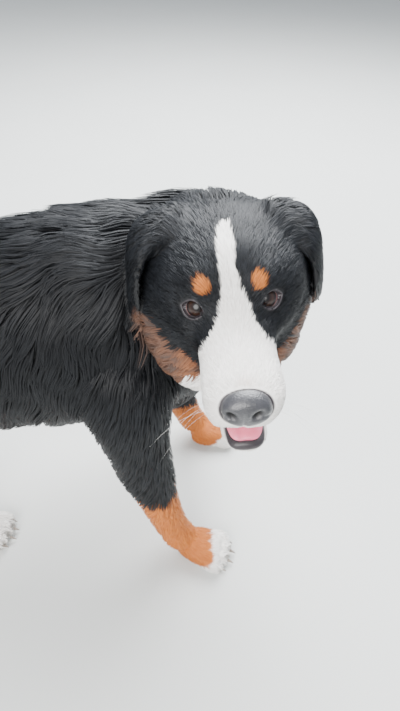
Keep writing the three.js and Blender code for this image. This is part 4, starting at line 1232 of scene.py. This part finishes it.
claws = join("claws", [add_claw(FORMS[name], forward, side)
                       for name in PAWS for side, forward in zip(TOE_SIDES, TOE_FORWARDS)])
claws.data.shade_smooth()
claws.data.materials.append(mottled_material(
    "claw_horn", HORN_COLOURS, scale=260.0, detail=3.0, bump=(0.3, 0.0003), Roughness=0.35))
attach(claws, "root")

# Whiskers on the pads of the muzzle, in rows on each side: height of the row and number of its hairs
WHISKER_ROWS, WHISKER_LENGTH, WHISKER_WIDTH = ((-60, 1), (-68, 2), (-75, 2)), (40, 66), 0.45
spots, reach, aim = [], [], []
for side, _ in SIDES:
    for row, (height, hairs) in enumerate(WHISKER_ROWS):
        for number in range(hairs):
            spots.append((84 - number * 11 - row * 3, side * (30 + number * 1.5), height - number * 1.5))
            reach.append(draw.uniform(*WHISKER_LENGTH))
            aim.append((0.25 - number * 0.1, side, 0.1 - row * 0.25))
count = len(spots)
roots = settle(from_head(spots), rounds=4, most=12.0)[:, None]
aim = (unit(np.array(aim) + draw.normal(0, 0.10, (count, 3))) @ HEAD_TURN.T)[:, None]
sag = np.array([0.1, 0, -1.0]) @ HEAD_TURN.T
reach, steps = np.array(reach)[:, None, None], np.linspace(0, 1, 9)[:, None]
paths = roots + aim * (reach * steps) + sag * (reach * 0.6 * steps ** 2)
ups = np.repeat(slope_of(roots[:, 0])[1][:, None], len(steps), 1)
none, half, full = np.zeros(count), np.full(count, 0.5), np.ones(count)
unwrap = np.stack([np.linspace(0.05, 0.95, count), half], 1)
whiskers = make_coat("whiskers", [(paths, ups, half, full * WHISKER_WIDTH, full, none, unwrap)])
whiskers.data.materials.append(mottled_material(
    "whisker_white", WHISKER_COLOURS, scale=200.0, detail=2.0, Roughness=0.35))
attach(whiskers, "root")

# Floor, light and camera
bpy.ops.object.select_all(action="DESELECT")
bpy.ops.mesh.primitive_plane_add(size=60, location=(0, 0, 0))
floor = bpy.context.object
floor.name = "floor"
floor.data.materials.append(mottled_material("pale_floor", FLOOR_COLOURS, scale=3.0, detail=4.0, Roughness=0.85))


def add_light(name, at, size, power, colour, target=(0.1, 0.0, 0.4)):
    bpy.ops.object.light_add(type="AREA", location=at)
    lamp = bpy.context.object
    lamp.name = name
    lamp.data.shape, lamp.data.size = "DISK", size
    lamp.data.energy, lamp.data.color = power, colour
    lamp.rotation_euler = (Vector(target) - Vector(at)).to_track_quat("-Z", "Y").to_euler()


add_light("overhead", (0.6, 1.5, 2.4), size=2.8, power=360, colour=(0.95, 0.975, 1.0))
add_light("front", (-0.5, -2.0, 2.0), size=2.2, power=140, colour=(1.0, 0.985, 0.96))
world = bpy.data.worlds.new("studio")
bpy.context.scene.world = world
world.use_nodes = True
background = world.node_tree.nodes["Background"]
background.inputs["Color"].default_value = (0.86, 0.92, 1.0, 1)
background.inputs["Strength"].default_value = 0.85

# Focal length and height of the picture, both in its own pixels
FOCAL, PICTURE_HEIGHT, SENSOR = 527, 711, 36
bpy.ops.object.camera_add(location=(CAMERA_AT + SHIFT) * MM, rotation=(math.radians(45), 0, 0))
camera = bpy.context.object
camera.data.sensor_width = SENSOR
camera.data.lens = SENSOR * FOCAL / PICTURE_HEIGHT
camera.data.clip_end = 100
bpy.context.scene.camera = camera
